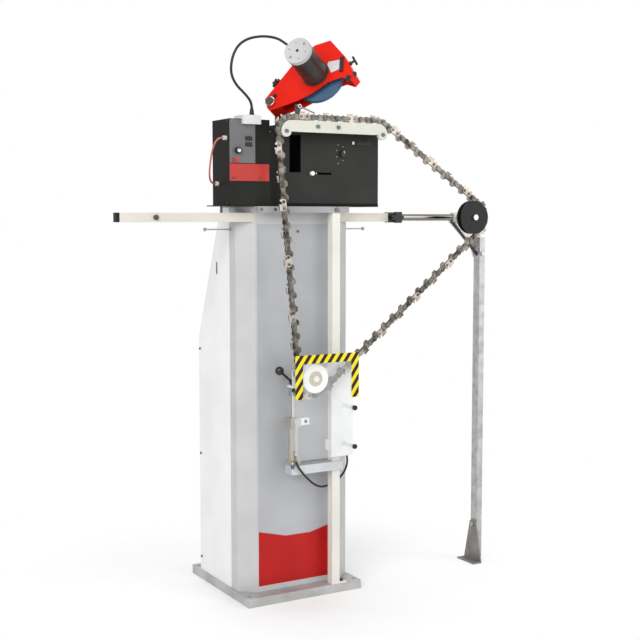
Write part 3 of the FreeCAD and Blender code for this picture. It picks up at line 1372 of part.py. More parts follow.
def build():
    write("base_plate", base_plate())
    write("column_shell", column_shell())
    write("front_panel", front_panel())
    write("kick_panel", kick_panel())
    write("rear_cover", rear_cover())
    write("top_plate", top_plate())
    write("crossbar", crossbar())
    write("arm_end_cap", arm_end_cap())
    write("chain_hooks", *chain_hooks())
    write("rail_post", *rail_post())
    write("box_floor", box_floor())
    write("left_box", left_box())
    write("right_box", right_box())
    write("control_panel", control_panel())
    write("red_band", red_band())
    write("rocker_upper", rocker(ROCKER_Z[0]))
    write("rocker_lower", rocker(ROCKER_Z[1]))
    write("speed_knob", turn_knob(KNOB_AT, KNOB_R, panel_face(), KNOB_STEM_R))
    write("start_button", start_button())
    write("dial_knob", turn_knob(DIAL_AT, DIAL_R, BOX_FRONT_Y, DIAL_STEM_R))
    write("slider_knob", slider_knob())
    write("connector_block", connector_block())
    write("control_board", control_board())
    write("guide_rail", guide_rail())
    write("vise_base", vise_base())
    write("feed_pawl", feed_pawl())
    links, cutters, ties = chain_parts()
    write("chain_drive_links", *links)
    write("chain_cutters", *cutters)
    write("chain_tie_straps", *ties)
    write("idler_wheel", *idler_wheel())
    write("tension_pulley", *tension_pulley())
    write("pulley_hub", pulley_hub())
    write("inner_tube", inner_tube())
    write("corner_gusset", corner_gusset())
    write("leg_tube", leg_tube())
    write("foot_bracket", foot_bracket())
    write("arm_bolts", idler_axle(), *leg_bolts())
    write("clamp_collar", clamp_collar())
    write("clamp_knob", clamp_knob())
    write("head_guard", head_guard())
    write("motor_housing", motor_housing())
    write("motor_cap", motor_cap())
    write("eye_shield", eye_shield())
    write("star_knob", guard_star_knob())
    write("wing_screw", wing_screw())
    write("motor_spindle", motor_spindle())
    write("grinding_wheel", grinding_wheel())
    write("head_bracket", head_bracket())
    write("tension_bar", tension_bar())
    write("air_cylinder", air_cylinder())
    write("cylinder_rod", cylinder_rod())
    write("carriage_plate", *carriage_plate())
    write("chain_guard", chain_guard())
    write("guard_standoffs", *guard_standoffs())
    write("ball_lever", ball_lever())
    write("motor_cable", cord_tube("motor_cable", MOTOR_CABLE_ROUTE, MOTOR_CABLE_R))
    write("side_hose", cord_tube("side_hose", SIDE_HOSE_ROUTE, SIDE_HOSE_R))
    write("air_hose", cord_tube("air_hose", AIR_HOSE_ROUTE, AIR_HOSE_R))
    write("fittings", *fittings())
    write("frame_screws", *frame_screws())
    print("pulley height", round(PULLEY_Z, 2), "loop", round(LOOP, 2))


build()
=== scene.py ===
import math

import bmesh
import bpy
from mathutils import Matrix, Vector


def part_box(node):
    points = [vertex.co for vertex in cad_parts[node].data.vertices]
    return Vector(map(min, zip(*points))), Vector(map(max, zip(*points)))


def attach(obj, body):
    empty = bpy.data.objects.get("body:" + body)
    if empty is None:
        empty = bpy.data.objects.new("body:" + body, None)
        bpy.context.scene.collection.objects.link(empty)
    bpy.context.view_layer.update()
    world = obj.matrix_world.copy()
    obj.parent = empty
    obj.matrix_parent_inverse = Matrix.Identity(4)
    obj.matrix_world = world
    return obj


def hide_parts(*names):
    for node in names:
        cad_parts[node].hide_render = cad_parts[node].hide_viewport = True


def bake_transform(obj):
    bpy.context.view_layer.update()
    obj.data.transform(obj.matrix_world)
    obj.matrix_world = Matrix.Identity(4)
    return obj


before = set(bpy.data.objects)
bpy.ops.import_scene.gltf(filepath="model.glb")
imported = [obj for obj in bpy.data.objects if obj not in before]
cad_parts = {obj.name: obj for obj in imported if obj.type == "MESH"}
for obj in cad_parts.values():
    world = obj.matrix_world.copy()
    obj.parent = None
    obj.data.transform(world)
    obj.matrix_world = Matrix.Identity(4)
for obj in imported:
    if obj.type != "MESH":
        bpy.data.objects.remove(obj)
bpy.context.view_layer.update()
MM = 0.001


# Camera

CAMERA_AT = (-1.5906, -3.0243, 1.080)
CAMERA_DOWN = 5.03
CAMERA_SIDE = 30.0
CAMERA_LENS = 65.8


def make_camera():
    data = bpy.data.cameras.new("camera")
    data.sensor_width = 36.0
    data.lens = CAMERA_LENS
    data.clip_end = 100.0
    camera = bpy.data.objects.new("camera", data)
    camera.location = CAMERA_AT
    camera.rotation_euler = (math.radians(90 - CAMERA_DOWN), 0, math.radians(-CAMERA_SIDE))
    bpy.context.scene.collection.objects.link(camera)
    bpy.context.scene.camera = camera


# Materials

def grain_nodes(tree, scale, stretch, detail=4.0):
    """Noise in the piece's own coordinates, as a value between 0 and 1."""
    place = tree.nodes.new("ShaderNodeTexCoord")
    mapping = tree.nodes.new("ShaderNodeMapping")
    mapping.inputs["Scale"].default_value = stretch
    noise = tree.nodes.new("ShaderNodeTexNoise")
    noise.inputs["Scale"].default_value = scale
    noise.inputs["Detail"].default_value = detail
    tree.links.new(place.outputs["Object"], mapping.inputs["Vector"])
    tree.links.new(mapping.outputs["Vector"], noise.inputs["Vector"])
    return noise.outputs["Fac"]


def surface(name, colour, other, rough=(0.4, 0.55), metallic=0.0, scale=9.0, stretch=(1, 1, 1),
            bump=0.12, bump_scale=700.0, coat=0.0, gloss=0.5, spots=None, spot_scale=60.0, spot_edge=0.62):
    """Paint, plastic or metal whose colour, roughness and relief vary a little over the surface."""
    material = bpy.data.materials.new(name)
    material.use_nodes = True
    tree = material.node_tree
    shader = tree.nodes["Principled BSDF"]
    shader.inputs["Metallic"].default_value = metallic
    shader.inputs["Specular IOR Level"].default_value = gloss
    shader.inputs["Coat Weight"].default_value = coat
    shader.inputs["Coat Roughness"].default_value = 0.15
    broad = grain_nodes(tree, scale, stretch)
    ramp = tree.nodes.new("ShaderNodeValToRGB")
    ramp.color_ramp.elements[0].position = 0.32
    ramp.color_ramp.elements[1].position = 0.68
    ramp.color_ramp.elements[0].color = (*colour, 1)
    ramp.color_ramp.elements[1].color = (*other, 1)
    tree.links.new(broad, ramp.inputs["Fac"])
    tint = ramp.outputs["Color"]
    if spots:
        mottled = grain_nodes(tree, spot_scale, stretch, detail=6.0)
        edge = tree.nodes.new("ShaderNodeMapRange")
        edge.inputs["From Min"].default_value = spot_edge
        edge.inputs["From Max"].default_value = spot_edge + 0.08
        tree.links.new(mottled, edge.inputs["Value"])
        mix = tree.nodes.new("ShaderNodeMix")
        mix.data_type = "RGBA"
        mix.inputs["B"].default_value = (*spots, 1)
        tree.links.new(edge.outputs["Result"], mix.inputs["Factor"])
        tree.links.new(tint, mix.inputs["A"])
        tint = mix.outputs["Result"]
    tree.links.new(tint, shader.inputs["Base Color"])
    level = tree.nodes.new("ShaderNodeMapRange")
    level.inputs["To Min"].default_value = rough[0]
    level.inputs["To Max"].default_value = rough[1]
    tree.links.new(broad, level.inputs["Value"])
    tree.links.new(level.outputs["Result"], shader.inputs["Roughness"])
    relief = tree.nodes.new("ShaderNodeBump")
    relief.inputs["Strength"].default_value = bump
    relief.inputs["Distance"].default_value = 0.0004
    tree.links.new(grain_nodes(tree, bump_scale, stretch, detail=2.0), relief.inputs["Height"])
    tree.links.new(relief.outputs["Normal"], shader.inputs["Normal"])
    return material


def clear_sheet(name, tint, rough):
    """Transparent plastic with faint unevenness in its gloss."""
    material = surface(name, tint, tuple(0.96 * c for c in tint), rough=rough, bump=0.03, bump_scale=40)
    shader = material.node_tree.nodes["Principled BSDF"]
    shader.inputs["Alpha"].default_value = 0.12
    return material


PAINT = dict(rough=(0.42, 0.56), bump=0.18, bump_scale=900.0, gloss=0.25)
DARK = dict(rough=(0.4, 0.6), gloss=0.08)
METAL = dict(metallic=1.0, bump=0.1, bump_scale=500.0)

LOOKS = {
    "base_plate": surface("zinc_plate", (0.36, 0.355, 0.35), (0.48, 0.475, 0.47), rough=(0.4, 0.58),
                          metallic=0.35, scale=14, bump=0.1),
    "column_shell": surface("grey_shell", (0.47, 0.465, 0.47), (0.53, 0.525, 0.53), **PAINT),
    "front_panel": surface("front_paint", (0.38, 0.385, 0.40), (0.43, 0.435, 0.45), **PAINT),
    "kick_panel": surface("kick_red", (0.38, 0.004, 0.004), (0.46, 0.007, 0.006), rough=(0.35, 0.5),
                          bump=0.15, gloss=0.25),
    "rear_cover": surface("cover_white", (0.76, 0.76, 0.76), (0.82, 0.82, 0.82), **PAINT),
    "top_plate": surface("top_white", (0.26, 0.26, 0.27), (0.34, 0.34, 0.35), **PAINT),
    "crossbar": surface("cream_tube", (0.61, 0.57, 0.51), (0.67, 0.63, 0.57), **PAINT),
    "arm_end_cap": surface("black_cap", (0.012, 0.012, 0.012), (0.02, 0.02, 0.022), **DARK),
    "chain_hooks": surface("hook_steel", (0.35, 0.35, 0.36), (0.5, 0.5, 0.5), rough=(0.3, 0.5), **METAL),
    "rail_post": surface("cream_post", (0.68, 0.655, 0.60), (0.75, 0.725, 0.67), **PAINT),
    "box_floor": surface("black_sheet", (0.010, 0.010, 0.010), (0.018, 0.018, 0.018), **DARK),
    "left_box": surface("olive_box", (0.016, 0.016, 0.014), (0.023, 0.023, 0.020), **DARK),
    "right_box": surface("warm_box", (0.028, 0.028, 0.025), (0.036, 0.036, 0.033), **DARK),
    "control_panel": surface("slate_panel", (0.130, 0.125, 0.130), (0.165, 0.16, 0.165), **PAINT),
    "red_band": surface("band_red", (0.42, 0.03, 0.022), (0.50, 0.042, 0.032), rough=(0.35, 0.5), gloss=0.3),
    "connector_block": surface("block_grey", (0.60, 0.60, 0.61), (0.70, 0.70, 0.71), rough=(0.4, 0.6)),
    "control_board": surface("board_green", (0.02, 0.16, 0.07), (0.04, 0.24, 0.10), rough=(0.3, 0.5)),
    "guide_rail": surface("cream_rail", (0.58, 0.575, 0.50), (0.66, 0.655, 0.58), **PAINT),
    "vise_base": surface("vise_steel", (0.05, 0.048, 0.045), (0.11, 0.105, 0.10), rough=(0.35, 0.6),
                         metallic=0.6, scale=30),
    "head_bracket": surface("cast_dark", (0.035, 0.034, 0.033), (0.07, 0.068, 0.066), rough=(0.4, 0.6),
                            metallic=0.4, scale=30),
    # Drive links: dark steel whose light noise patches are painted highlights.
    "chain_drive_links": surface("link_steel_painted_glints", (0.035, 0.032, 0.028), (0.24, 0.22, 0.195), rough=(0.25, 0.5),
                                 scale=55, **METAL),
    "chain_cutters": surface("cutter_steel", (0.20, 0.17, 0.145), (0.48, 0.42, 0.37), rough=(0.25, 0.45),
                             scale=60, **METAL),
    # Tie straps: dark steel whose light noise patches are painted highlights.
    "chain_tie_straps": surface("strap_steel_painted_glints", (0.03, 0.028, 0.025), (0.22, 0.205, 0.18), rough=(0.25, 0.5),
                                scale=55, **METAL),
    "clamp_collar": surface("collar_black", (0.012, 0.012, 0.012), (0.028, 0.028, 0.026), rough=(0.35, 0.55),
                            bump=0.5, bump_scale=900, gloss=0.25),
    "fittings": surface("fitting_white", (0.62, 0.62, 0.60), (0.74, 0.74, 0.72), rough=(0.3, 0.5)),
    "frame_screws": surface("screw_zinc", (0.07, 0.07, 0.07), (0.16, 0.16, 0.16), rough=(0.3, 0.5), **METAL),
    "head_guard": surface("guard_enamel", (0.66, 0.010, 0.003), (0.74, 0.017, 0.006), rough=(0.25, 0.36),
                          coat=0.04, gloss=0.12),
    "motor_housing": surface("motor_dark", (0.020, 0.016, 0.013), (0.042, 0.035, 0.030), rough=(0.3, 0.45),
                             gloss=0.4),
    "motor_cap": surface("cap_speckle", (0.44, 0.435, 0.44), (0.56, 0.555, 0.56), rough=(0.4, 0.6),
                         spots=(0.42, 0.42, 0.42), spot_scale=420, spot_edge=0.6),
    "eye_shield": surface("shield_window", (0.50, 0.50, 0.50), (0.66, 0.66, 0.66), rough=(0.12, 0.3)),
    "star_knob": surface("star_black", (0.010, 0.010, 0.010), (0.02, 0.02, 0.02), rough=(0.3, 0.45),
                         gloss=0.3),
    "wing_screw": surface("wing_black", (0.010, 0.010, 0.010), (0.025, 0.025, 0.025), rough=(0.3, 0.5),
                          gloss=0.3),
    "motor_spindle": surface("spindle_steel", (0.5, 0.5, 0.5), (0.62, 0.62, 0.62), rough=(0.2, 0.35),
                             **METAL),
    "grinding_wheel": surface("stone_blue", (0.05, 0.11, 0.19), (0.08, 0.16, 0.27), rough=(0.8, 0.95),
                              bump=0.6, bump_scale=1500, gloss=0.15, spots=(0.2, 0.3, 0.42), spot_scale=900),
    "feed_pawl": surface("pawl_steel", (0.26, 0.25, 0.24), (0.42, 0.41, 0.39), rough=(0.25, 0.4), **METAL),
    # Inner tube: its dark brownish colour, streaked along the tube, is painted reflection on the polished
    # steel.
    "inner_tube": surface("polished_tube_painted_reflection", (0.20, 0.185, 0.175), (0.30, 0.28, 0.265), rough=(0.1, 0.22),
                          stretch=(0.2, 1, 1), **METAL),
    "corner_gusset": surface("gusset_grey", (0.50, 0.47, 0.46), (0.64, 0.61, 0.60), rough=(0.35, 0.55),
                             metallic=0.4),
    "leg_tube": surface("galvanised", (0.36, 0.355, 0.345), (0.52, 0.515, 0.50), rough=(0.35, 0.55),
                        metallic=0.7, scale=45, bump=0.1),
    "foot_bracket": surface("foot_steel", (0.17, 0.155, 0.145), (0.26, 0.24, 0.225), rough=(0.4, 0.6),
                            metallic=0.5, scale=30),
    "arm_bolts": surface("bolt_zinc", (0.34, 0.34, 0.34), (0.5, 0.5, 0.5), rough=(0.3, 0.45), **METAL),
    "idler_wheel": surface("idler_black", (0.002, 0.002, 0.0015), (0.008, 0.008, 0.007), rough=(0.35, 0.55),
                           gloss=0.25),
    "clamp_knob": surface("knob_black", (0.008, 0.008, 0.008), (0.018, 0.018, 0.017), rough=(0.3, 0.45),
                          gloss=0.3),
    "tension_bar": surface("bar_zinc", (0.52, 0.53, 0.54), (0.64, 0.65, 0.66), rough=(0.35, 0.5),
                           metallic=0.4),
    "air_cylinder": surface("barrel_cream", (0.37, 0.355, 0.315), (0.47, 0.45, 0.41), rough=(0.3, 0.45),
                            metallic=0.4),
    "carriage_plate": surface("carriage_white", (0.70, 0.71, 0.71), (0.77, 0.78, 0.78), **PAINT),
    "chain_guard": clear_sheet("guard_clear", (0.97, 0.98, 0.98), (0.02, 0.06)),
    "guard_standoffs": surface("standoff_pale", (0.62, 0.62, 0.62), (0.76, 0.76, 0.76), rough=(0.25, 0.4)),
    "cylinder_rod": surface("rod_steel", (0.60, 0.60, 0.60), (0.72, 0.72, 0.72), rough=(0.12, 0.25), **METAL),
    "tension_pulley": surface("pulley_white", (0.86, 0.88, 0.85), (0.92, 0.94, 0.91), rough=(0.35, 0.5)),
    "pulley_hub": surface("hub_brass", (0.42, 0.34, 0.20), (0.56, 0.47, 0.30), rough=(0.3, 0.45),
                          metallic=0.5),
    "ball_lever": surface("lever_black", (0.008, 0.008, 0.008), (0.016, 0.016, 0.016), rough=(0.12, 0.22)),
    "rocker_upper": surface("rocker_black", (0.006, 0.006, 0.006), (0.012, 0.012, 0.013), rough=(0.2, 0.3)),
    "start_button": surface("button_red", (0.52, 0.012, 0.012), (0.64, 0.02, 0.02), rough=(0.25, 0.4),
                            gloss=0.3),
    "speed_knob": surface("speed_black", (0.010, 0.010, 0.010), (0.02, 0.02, 0.02), rough=(0.3, 0.45),
                          gloss=0.3),
    "dial_knob": surface("dial_black", (0.008, 0.008, 0.008), (0.016, 0.016, 0.016), rough=(0.3, 0.45),
                         gloss=0.3),
    "slider_knob": surface("slider_white", (0.74, 0.74, 0.73), (0.82, 0.82, 0.81), rough=(0.3, 0.45)),
}
LOOKS["rocker_lower"] = LOOKS["rocker_upper"]
BLACK_RUBBER = surface("black_rubber", (0.012, 0.012, 0.012), (0.024, 0.024, 0.024), rough=(0.45, 0.65),
                       gloss=0.3)
BLACK_PLASTIC = surface("black_plastic", (0.008, 0.008, 0.008), (0.018, 0.018, 0.018), rough=(0.35, 0.5),
                        gloss=0.3)
# Darker copy of the boxes' black: painted shade.
BOX_SHADE = surface("painted_box_shade", (0.006, 0.005, 0.004), (0.010, 0.009, 0.008), **DARK)
HOSE_RED = surface("hose_red", (0.36, 0.03, 0.025), (0.58, 0.20, 0.17), rough=(0.3, 0.5))
TAPE_YELLOW = surface("tape_yellow", (0.80, 0.60, 0.015), (0.88, 0.68, 0.025), rough=(0.35, 0.5), bump=0.05,
                      gloss=0.2)
TAPE_BLACK = surface("tape_black", (0.010, 0.010, 0.008), (0.02, 0.02, 0.017), rough=(0.35, 0.5), bump=0.05,
                     gloss=0.2)
MARK_WHITE = surface("mark_white", (0.72, 0.72, 0.71), (0.80, 0.80, 0.79), rough=(0.4, 0.6), bump=0.05)
MARK_GREY = surface("mark_grey", (0.20, 0.20, 0.19), (0.28, 0.28, 0.27), rough=(0.4, 0.6), bump=0.05)
FLANGE_SILVER = surface("flange_silver", (0.07, 0.06, 0.055), (0.16, 0.14, 0.13), rough=(0.25, 0.4), **METAL)
STEEL = surface("bright_steel", (0.42, 0.42, 0.42), (0.60, 0.60, 0.60), rough=(0.2, 0.4), **METAL)
BRASS = surface("brass", (0.55, 0.38, 0.14), (0.68, 0.50, 0.22), rough=(0.2, 0.35), **METAL)
BLUE_RING = surface("release_blue", (0.02, 0.10, 0.36), (0.04, 0.15, 0.45), rough=(0.3, 0.5))


GLAND_LOW = 1.345
STANDOFF_HEAD = -0.2549
SIDE_SKIN = 0.0004


def dress_nodes():
    for name, material in LOOKS.items():
        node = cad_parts[name]
        node.data.materials.clear()
        node.data.materials.append(material)
        for face in node.data.polygons:
            face.material_index = 0
    repaint("fittings", BLACK_RUBBER, lambda p: p.z > GLAND_LOW)
    repaint("guard_standoffs", BLACK_PLASTIC, lambda p: p.y < STANDOFF_HEAD)
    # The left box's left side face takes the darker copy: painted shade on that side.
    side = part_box("left_box")[0][0] + SIDE_SKIN
    repaint("left_box", BOX_SHADE, lambda p: p.x < side)
    repaint("motor_housing", BLACK_RUBBER, lambda p: motor_radius(p) > MOTOR_EDGE)


def motor_radius(place):
    """Distance from the motor's axis, in millimetres."""
    reach = place / MM - at_head(MOTOR_REACH, 0, 0)
    return (reach - HEAD_Z * reach.dot(HEAD_Z)).length


def repaint(name, material, where):
    """Give a second material to the faces of a node whose middle passes the test."""
    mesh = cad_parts[name].data
    mesh.materials.append(material)
    for face in mesh.polygons:
        if where(face.center):
            face.material_index = 1


# Building blocks of the small pieces

def piece(name, body, mesh, *materials):
    item = bpy.data.objects.new(name, mesh)
    bpy.context.scene.collection.objects.link(item)
    for material in materials:
        mesh.materials.append(material)
    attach(item, body)
    return item


def block(name, body, low, high, material, bevel=0.0):
    """Box between two corners in millimetres, its edges rounded by a bevel."""
    shape = bmesh.new()
    bmesh.ops.create_cube(shape, size=1.0)
    for vertex in shape.verts:
        for axis in range(3):
            middle = (low[axis] + high[axis]) / 2
            vertex.co[axis] = (middle + vertex.co[axis] * (high[axis] - low[axis])) * MM
    if bevel:
        bmesh.ops.bevel(shape, geom=shape.edges[:], offset=bevel * MM, segments=2, affect="EDGES")
    mesh = bpy.data.meshes.new(name)
    shape.to_mesh(mesh)
    shape.free()
    return piece(name, body, mesh, material)


def turned(name, body, centre, axis, profile, material, steps=40, smooth=True):
    """Solid of revolution: the profile is a list of (radius, height) in millimetres along the axis."""
    axis = Vector(axis).normalized()
    side = axis.orthogonal().normalized()
    other = axis.cross(side)
    centre = Vector(centre)
    points = []
    faces = []
    for radius, height in profile:
        for k in range(steps):
            angle = 2 * math.pi * k / steps
            spread = side * math.cos(angle) + other * math.sin(angle)
            points.append((centre + axis * height + spread * radius) * MM)
    for row in range(len(profile) - 1):
        for k in range(steps):
            after = (k + 1) % steps
            faces.append((row * steps + k, row * steps + after, (row + 1) * steps + after,
                          (row + 1) * steps + k))
    mesh = bpy.data.meshes.new(name)
    mesh.from_pydata(points, [], faces)
    shape = bmesh.new()
    shape.from_mesh(mesh)
    bmesh.ops.remove_doubles(shape, verts=shape.verts, dist=1e-7)
    bmesh.ops.holes_fill(shape, edges=shape.edges, sides=0)
    bmesh.ops.recalc_face_normals(shape, faces=shape.faces)
    shape.to_mesh(mesh)
    shape.free()
    for face in mesh.polygons:
        face.use_smooth = smooth and len(face.vertices) == 4
    return piece(name, body, mesh, material)


def closed_mesh(name, points, faces):
    """Mesh with its faces turned outwards."""
    mesh = bpy.data.meshes.new(name)
    mesh.from_pydata(points, [], faces)
    shape = bmesh.new()
    shape.from_mesh(mesh)
    bmesh.ops.recalc_face_normals(shape, faces=shape.faces)
    shape.to_mesh(mesh)
    shape.free()
    return mesh


def prism(name, body, lower, upper, material):
    """Plate between two outlines with the same number of points."""
    count = len(lower)
    faces = [tuple(reversed(range(count))), tuple(range(count, 2 * count))]
    for n in range(count):
        after = (n + 1) % count
        faces.append((n, after, count + after, count + n))
    return piece(name, body, closed_mesh(name, lower + upper, faces), material)


def clipped(polygon, keep):
    """Part of a polygon where the function keep is not negative; keep is linear in (x, z)."""
    out = []
    for k, here in enumerate(polygon):
        before = polygon[k - 1]
        a = keep(before)
        b = keep(here)
        if (a < 0) != (b < 0):
            share = a / (a - b)
            out.append((before[0] + share * (here[0] - before[0]), before[1] + share * (here[1] - before[1])))
        if b >= 0:
            out.append(here)
    return out


# Cords

MOTOR_CABLE = [
    (-144, -148, 1374), (-144, -148, 1390), (-165, -150, 1412), (-192, -152, 1433), (-208, -155, 1458),
    (-211, -159, 1484), (-206, -163, 1513), (-191, -168, 1540), (-164, -174, 1557), (-128, -180, 1564),
    (-98, -184, 1563), (-81, -190, 1557.6), (-73.6, -205, 1547.4), (-67.4, -221, 1536.4),
]
SIDE_HOSE = [
    (-231, -150, 1292), (-241, -150, 1292), (-250, -145, 1284), (-255, -138, 1268), (-257, -130, 1246),
    (-257, -121, 1222), (-255, -112, 1200), (-250, -103, 1182), (-240, -97, 1171), (-229, -97, 1171),
]
AIR_HOSE = [
    (-38, -199, 416), (-38, -199, 401), (-34, -205, 385), (-22, -208, 367), (-4, -206, 348),
    (18, -199, 330), (42, -186, 317), (69, -169, 309), (97, -157, 309), (124, -157, 320),
    (142, -161, 340), (149, -167, 362), (147, -173, 384), (140, -178, 402), (129, -178, 413),
    (122, -169, 416), (122, -154, 416),
]


def cord_curve(name, points, radius):
    curve = bpy.data.curves.new(name, "CURVE")
    curve.dimensions = "3D"
    curve.bevel_depth = radius * MM
    curve.bevel_resolution = 5
    curve.use_fill_caps = True
    curve.resolution_u = 10
    spline = curve.splines.new("NURBS")
    spline.points.add(len(points) - 1)
    for knot, place in zip(spline.points, points):
        knot.co = (place[0] * MM, place[1] * MM, place[2] * MM, 1)
    spline.order_u = 3
    spline.use_endpoint_u = True
    item = bpy.data.objects.new(name, curve)
    bpy.context.scene.collection.objects.link(item)
    return item


def cord_mesh(name, points, radius, material):
    """The same tube as a mesh, and the line that it follows, for a cord that runs across a joint."""
    line = cord_curve(name + "_line", points, 0.0)
    full = cord_curve(name + "_full", points, radius)
    graph = bpy.context.evaluated_depsgraph_get()
    thin = bpy.data.meshes.new_from_object(line.evaluated_get(graph))
    path = [tuple(vertex.co) for vertex in thin.vertices]
    mesh = bpy.data.meshes.new_from_object(full.evaluated_get(graph))
    mesh.materials.clear()
    mesh.materials.append(material)
    for face in mesh.polygons:
        face.use_smooth = len(face.vertices) == 4
    for helper in (line, full):
        bpy.data.objects.remove(helper)
    item = bpy.data.objects.new(name, mesh)
    bpy.context.scene.collection.objects.link(item)
    return item, path


def make_cords():
    cable, path = cord_mesh("motor_cable_soft", MOTOR_CABLE, 3.5, BLACK_RUBBER)
    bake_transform(cable)
    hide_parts("motor_cable")
    hose, path = cord_mesh("air_hose_soft", AIR_HOSE, 3.0, BLACK_RUBBER)
    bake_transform(hose)
    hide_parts("air_hose")
    side = cord_curve("side_hose_soft", SIDE_HOSE, 2.5)
    side.data.materials.append(HOSE_RED)
    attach(side, "frame")
    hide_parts("side_hose")


# Chain guard's hazard bands

GUARD_FRONT = -255.0
BAND = 24.0
STRIPE = 12.7
STRIPE_LEAN = 0.7
BAND_INSET = 19.0
TAPE_T = 0.2
GUARD_BOX = (-69.0, 153.0, 412.0, 703.0)
LEFT_BAND_END = 582.0
RIGHT_BAND_END = 577.0


def hazard_band(name, x0, x1, z0, z1):
    """Thin tape of slanting stripes, yellow and black in turn, cut to a rectangle."""
    points = []
    faces = []
    colours = []
    first = math.floor((x0 - STRIPE_LEAN * z1) / STRIPE)
    last = math.ceil((x1 - STRIPE_LEAN * z0) / STRIPE)
    for k in range(first, last):
        outline = [(x0, z0), (x1, z0), (x1, z1), (x0, z1)]
        outline = clipped(outline, lambda p: p[0] - STRIPE_LEAN * p[1] - k * STRIPE)
        outline = clipped(outline, lambda p: (k + 1) * STRIPE - p[0] + STRIPE_LEAN * p[1])
        if len(outline) < 3:
            continue
        base = len(points)
        count = len(outline)
        for y in (GUARD_FRONT - TAPE_T, GUARD_FRONT):
            points += [(x * MM, y * MM, z * MM) for x, z in outline]
        faces.append(tuple(base + n for n in range(count)))
        faces.append(tuple(base + count + n for n in reversed(range(count))))
        for n in range(count):
            after = (n + 1) % count
            faces.append((base + after, base + n, base + count + n, base + count + after))
        colours += [k % 2] * (count + 2)
    mesh = bpy.data.meshes.new(name)
    mesh.from_pydata(points, [], faces)
    item = piece(name, "carriage", mesh, TAPE_YELLOW, TAPE_BLACK)
    for face, colour in zip(mesh.polygons, colours):
        face.material_index = colour
    return item


def make_guard_bands():
    x0, x1, z0, z1 = GUARD_BOX
    x1 -= BAND_INSET
    hazard_band("hazard_top", x0, x1, z1 - BAND, z1)
    hazard_band("hazard_left", x0, x0 + BAND, LEFT_BAND_END, z1 - BAND)
    hazard_band("hazard_right", x1 - BAND, x1, RIGHT_BAND_END, z1 - BAND)


# Head details, in the head's own frame

HEAD_PIVOT = Vector((-71.8, -120.0, 1396.7))
HEAD_X = Vector((0.6569, -0.5487, 0.5171))
HEAD_Y = Vector((-0.0762, 0.6340, 0.7696))
HEAD_Z = Vector((-0.7501, -0.5450, 0.3746))
MOTOR_REACH = 146.7
MOTOR_EDGE = 40.0
CAP_TOP = 125.0
CAP_HOLE_REACH = 25.0
CAP_HOLE_START = 15
CAP_HOLES = 6


def at_head(x, y, z):
    return HEAD_PIVOT + HEAD_X * x + HEAD_Y * y + HEAD_Z * z


def head_plate(name, outline, z0, z1, material):
    """Flat piece on the head, drawn in the head's own frame."""
    lower, upper = ([at_head(x, y, z) * MM for x, y in outline] for z in (z0, z1))
    return prism(name, "head", lower, upper, material)


def make_head_details():
    axis = at_head(MOTOR_REACH, 0, 0)
    turned("motor_flange_ring", "head", axis, HEAD_Z,
           [(37.6, 3.2), (39.5, 3.0), (39.7, 2.6), (39.7, 0.3), (39.5, 0.0)], FLANGE_SILVER, steps=72)
    window = head_plate("window", [(187, 0), (193, 7), (226, -9), (226, -18), (214, -33), (186, -28)],
                        0.2, 2.0, LOOKS["eye_shield"])
    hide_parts("eye_shield")
    head_plate("window_strap", [(237, -6), (231, -16), (216, -45), (207, -41), (222, -12), (228, -2)],
               0.4, 4.2, BLACK_PLASTIC)
    head_plate("guard_corner", [(237, -64), (246, -69), (243, -76), (236, -77)], -6.0, 1.2, BLACK_PLASTIC)
    head_plate("guard_foot", [(222, -62), (229, -74), (219, -83), (210, -72)], -8.0, 1.2, BLACK_PLASTIC)
    turned("hinge_washer", "head", at_head(0, 0, 4.0), HEAD_Z,
           [(14.2, 0.0), (14.2, 1.2), (8.6, 1.4), (8.6, 0.0)],
           STEEL)
    turned("cover_bolt", "head", at_head(19, 9, 0), HEAD_Z, [(6.0, 0.0), (6.0, 3.5), (5.0, 4.5), (0.0, 4.6)],
           BLACK_PLASTIC, steps=6, smooth=False)
    # The black and grey discs on the motor cap stand for its holes: painted shade inside the holes.
    seat = CAP_TOP - 0.6
    turned("cap_hole_centre", "head", at_head(MOTOR_REACH, 0, seat), HEAD_Z,
           [(4.4, 0.0), (4.4, 0.2), (0.0, 0.2)], BLACK_PLASTIC, steps=24)
    for k in range(CAP_HOLES):
        angle = math.radians(360 / CAP_HOLES * k + CAP_HOLE_START)
        radius = 3.9 if k % 3 == 0 else 1.9
        place = at_head(MOTOR_REACH + CAP_HOLE_REACH * math.cos(angle), CAP_HOLE_REACH * math.sin(angle),
                        seat)
        turned("cap_hole_" + str(k), "head", place, HEAD_Z, [(radius, 0.0), (radius, 0.2), (0.0, 0.2)],
               MARK_GREY, steps=20)


# Marks on the boxes and knobs, and a painted highlight on the speed knob

DIAL_AT = (130.0, 1257.6)
DIAL_DOTS = ((-14, 25), (-18, 9), (-18, -9), (-14, -27), (2, 20), (2, -18))
SPEED_AT = (-199.0, 1258.0)


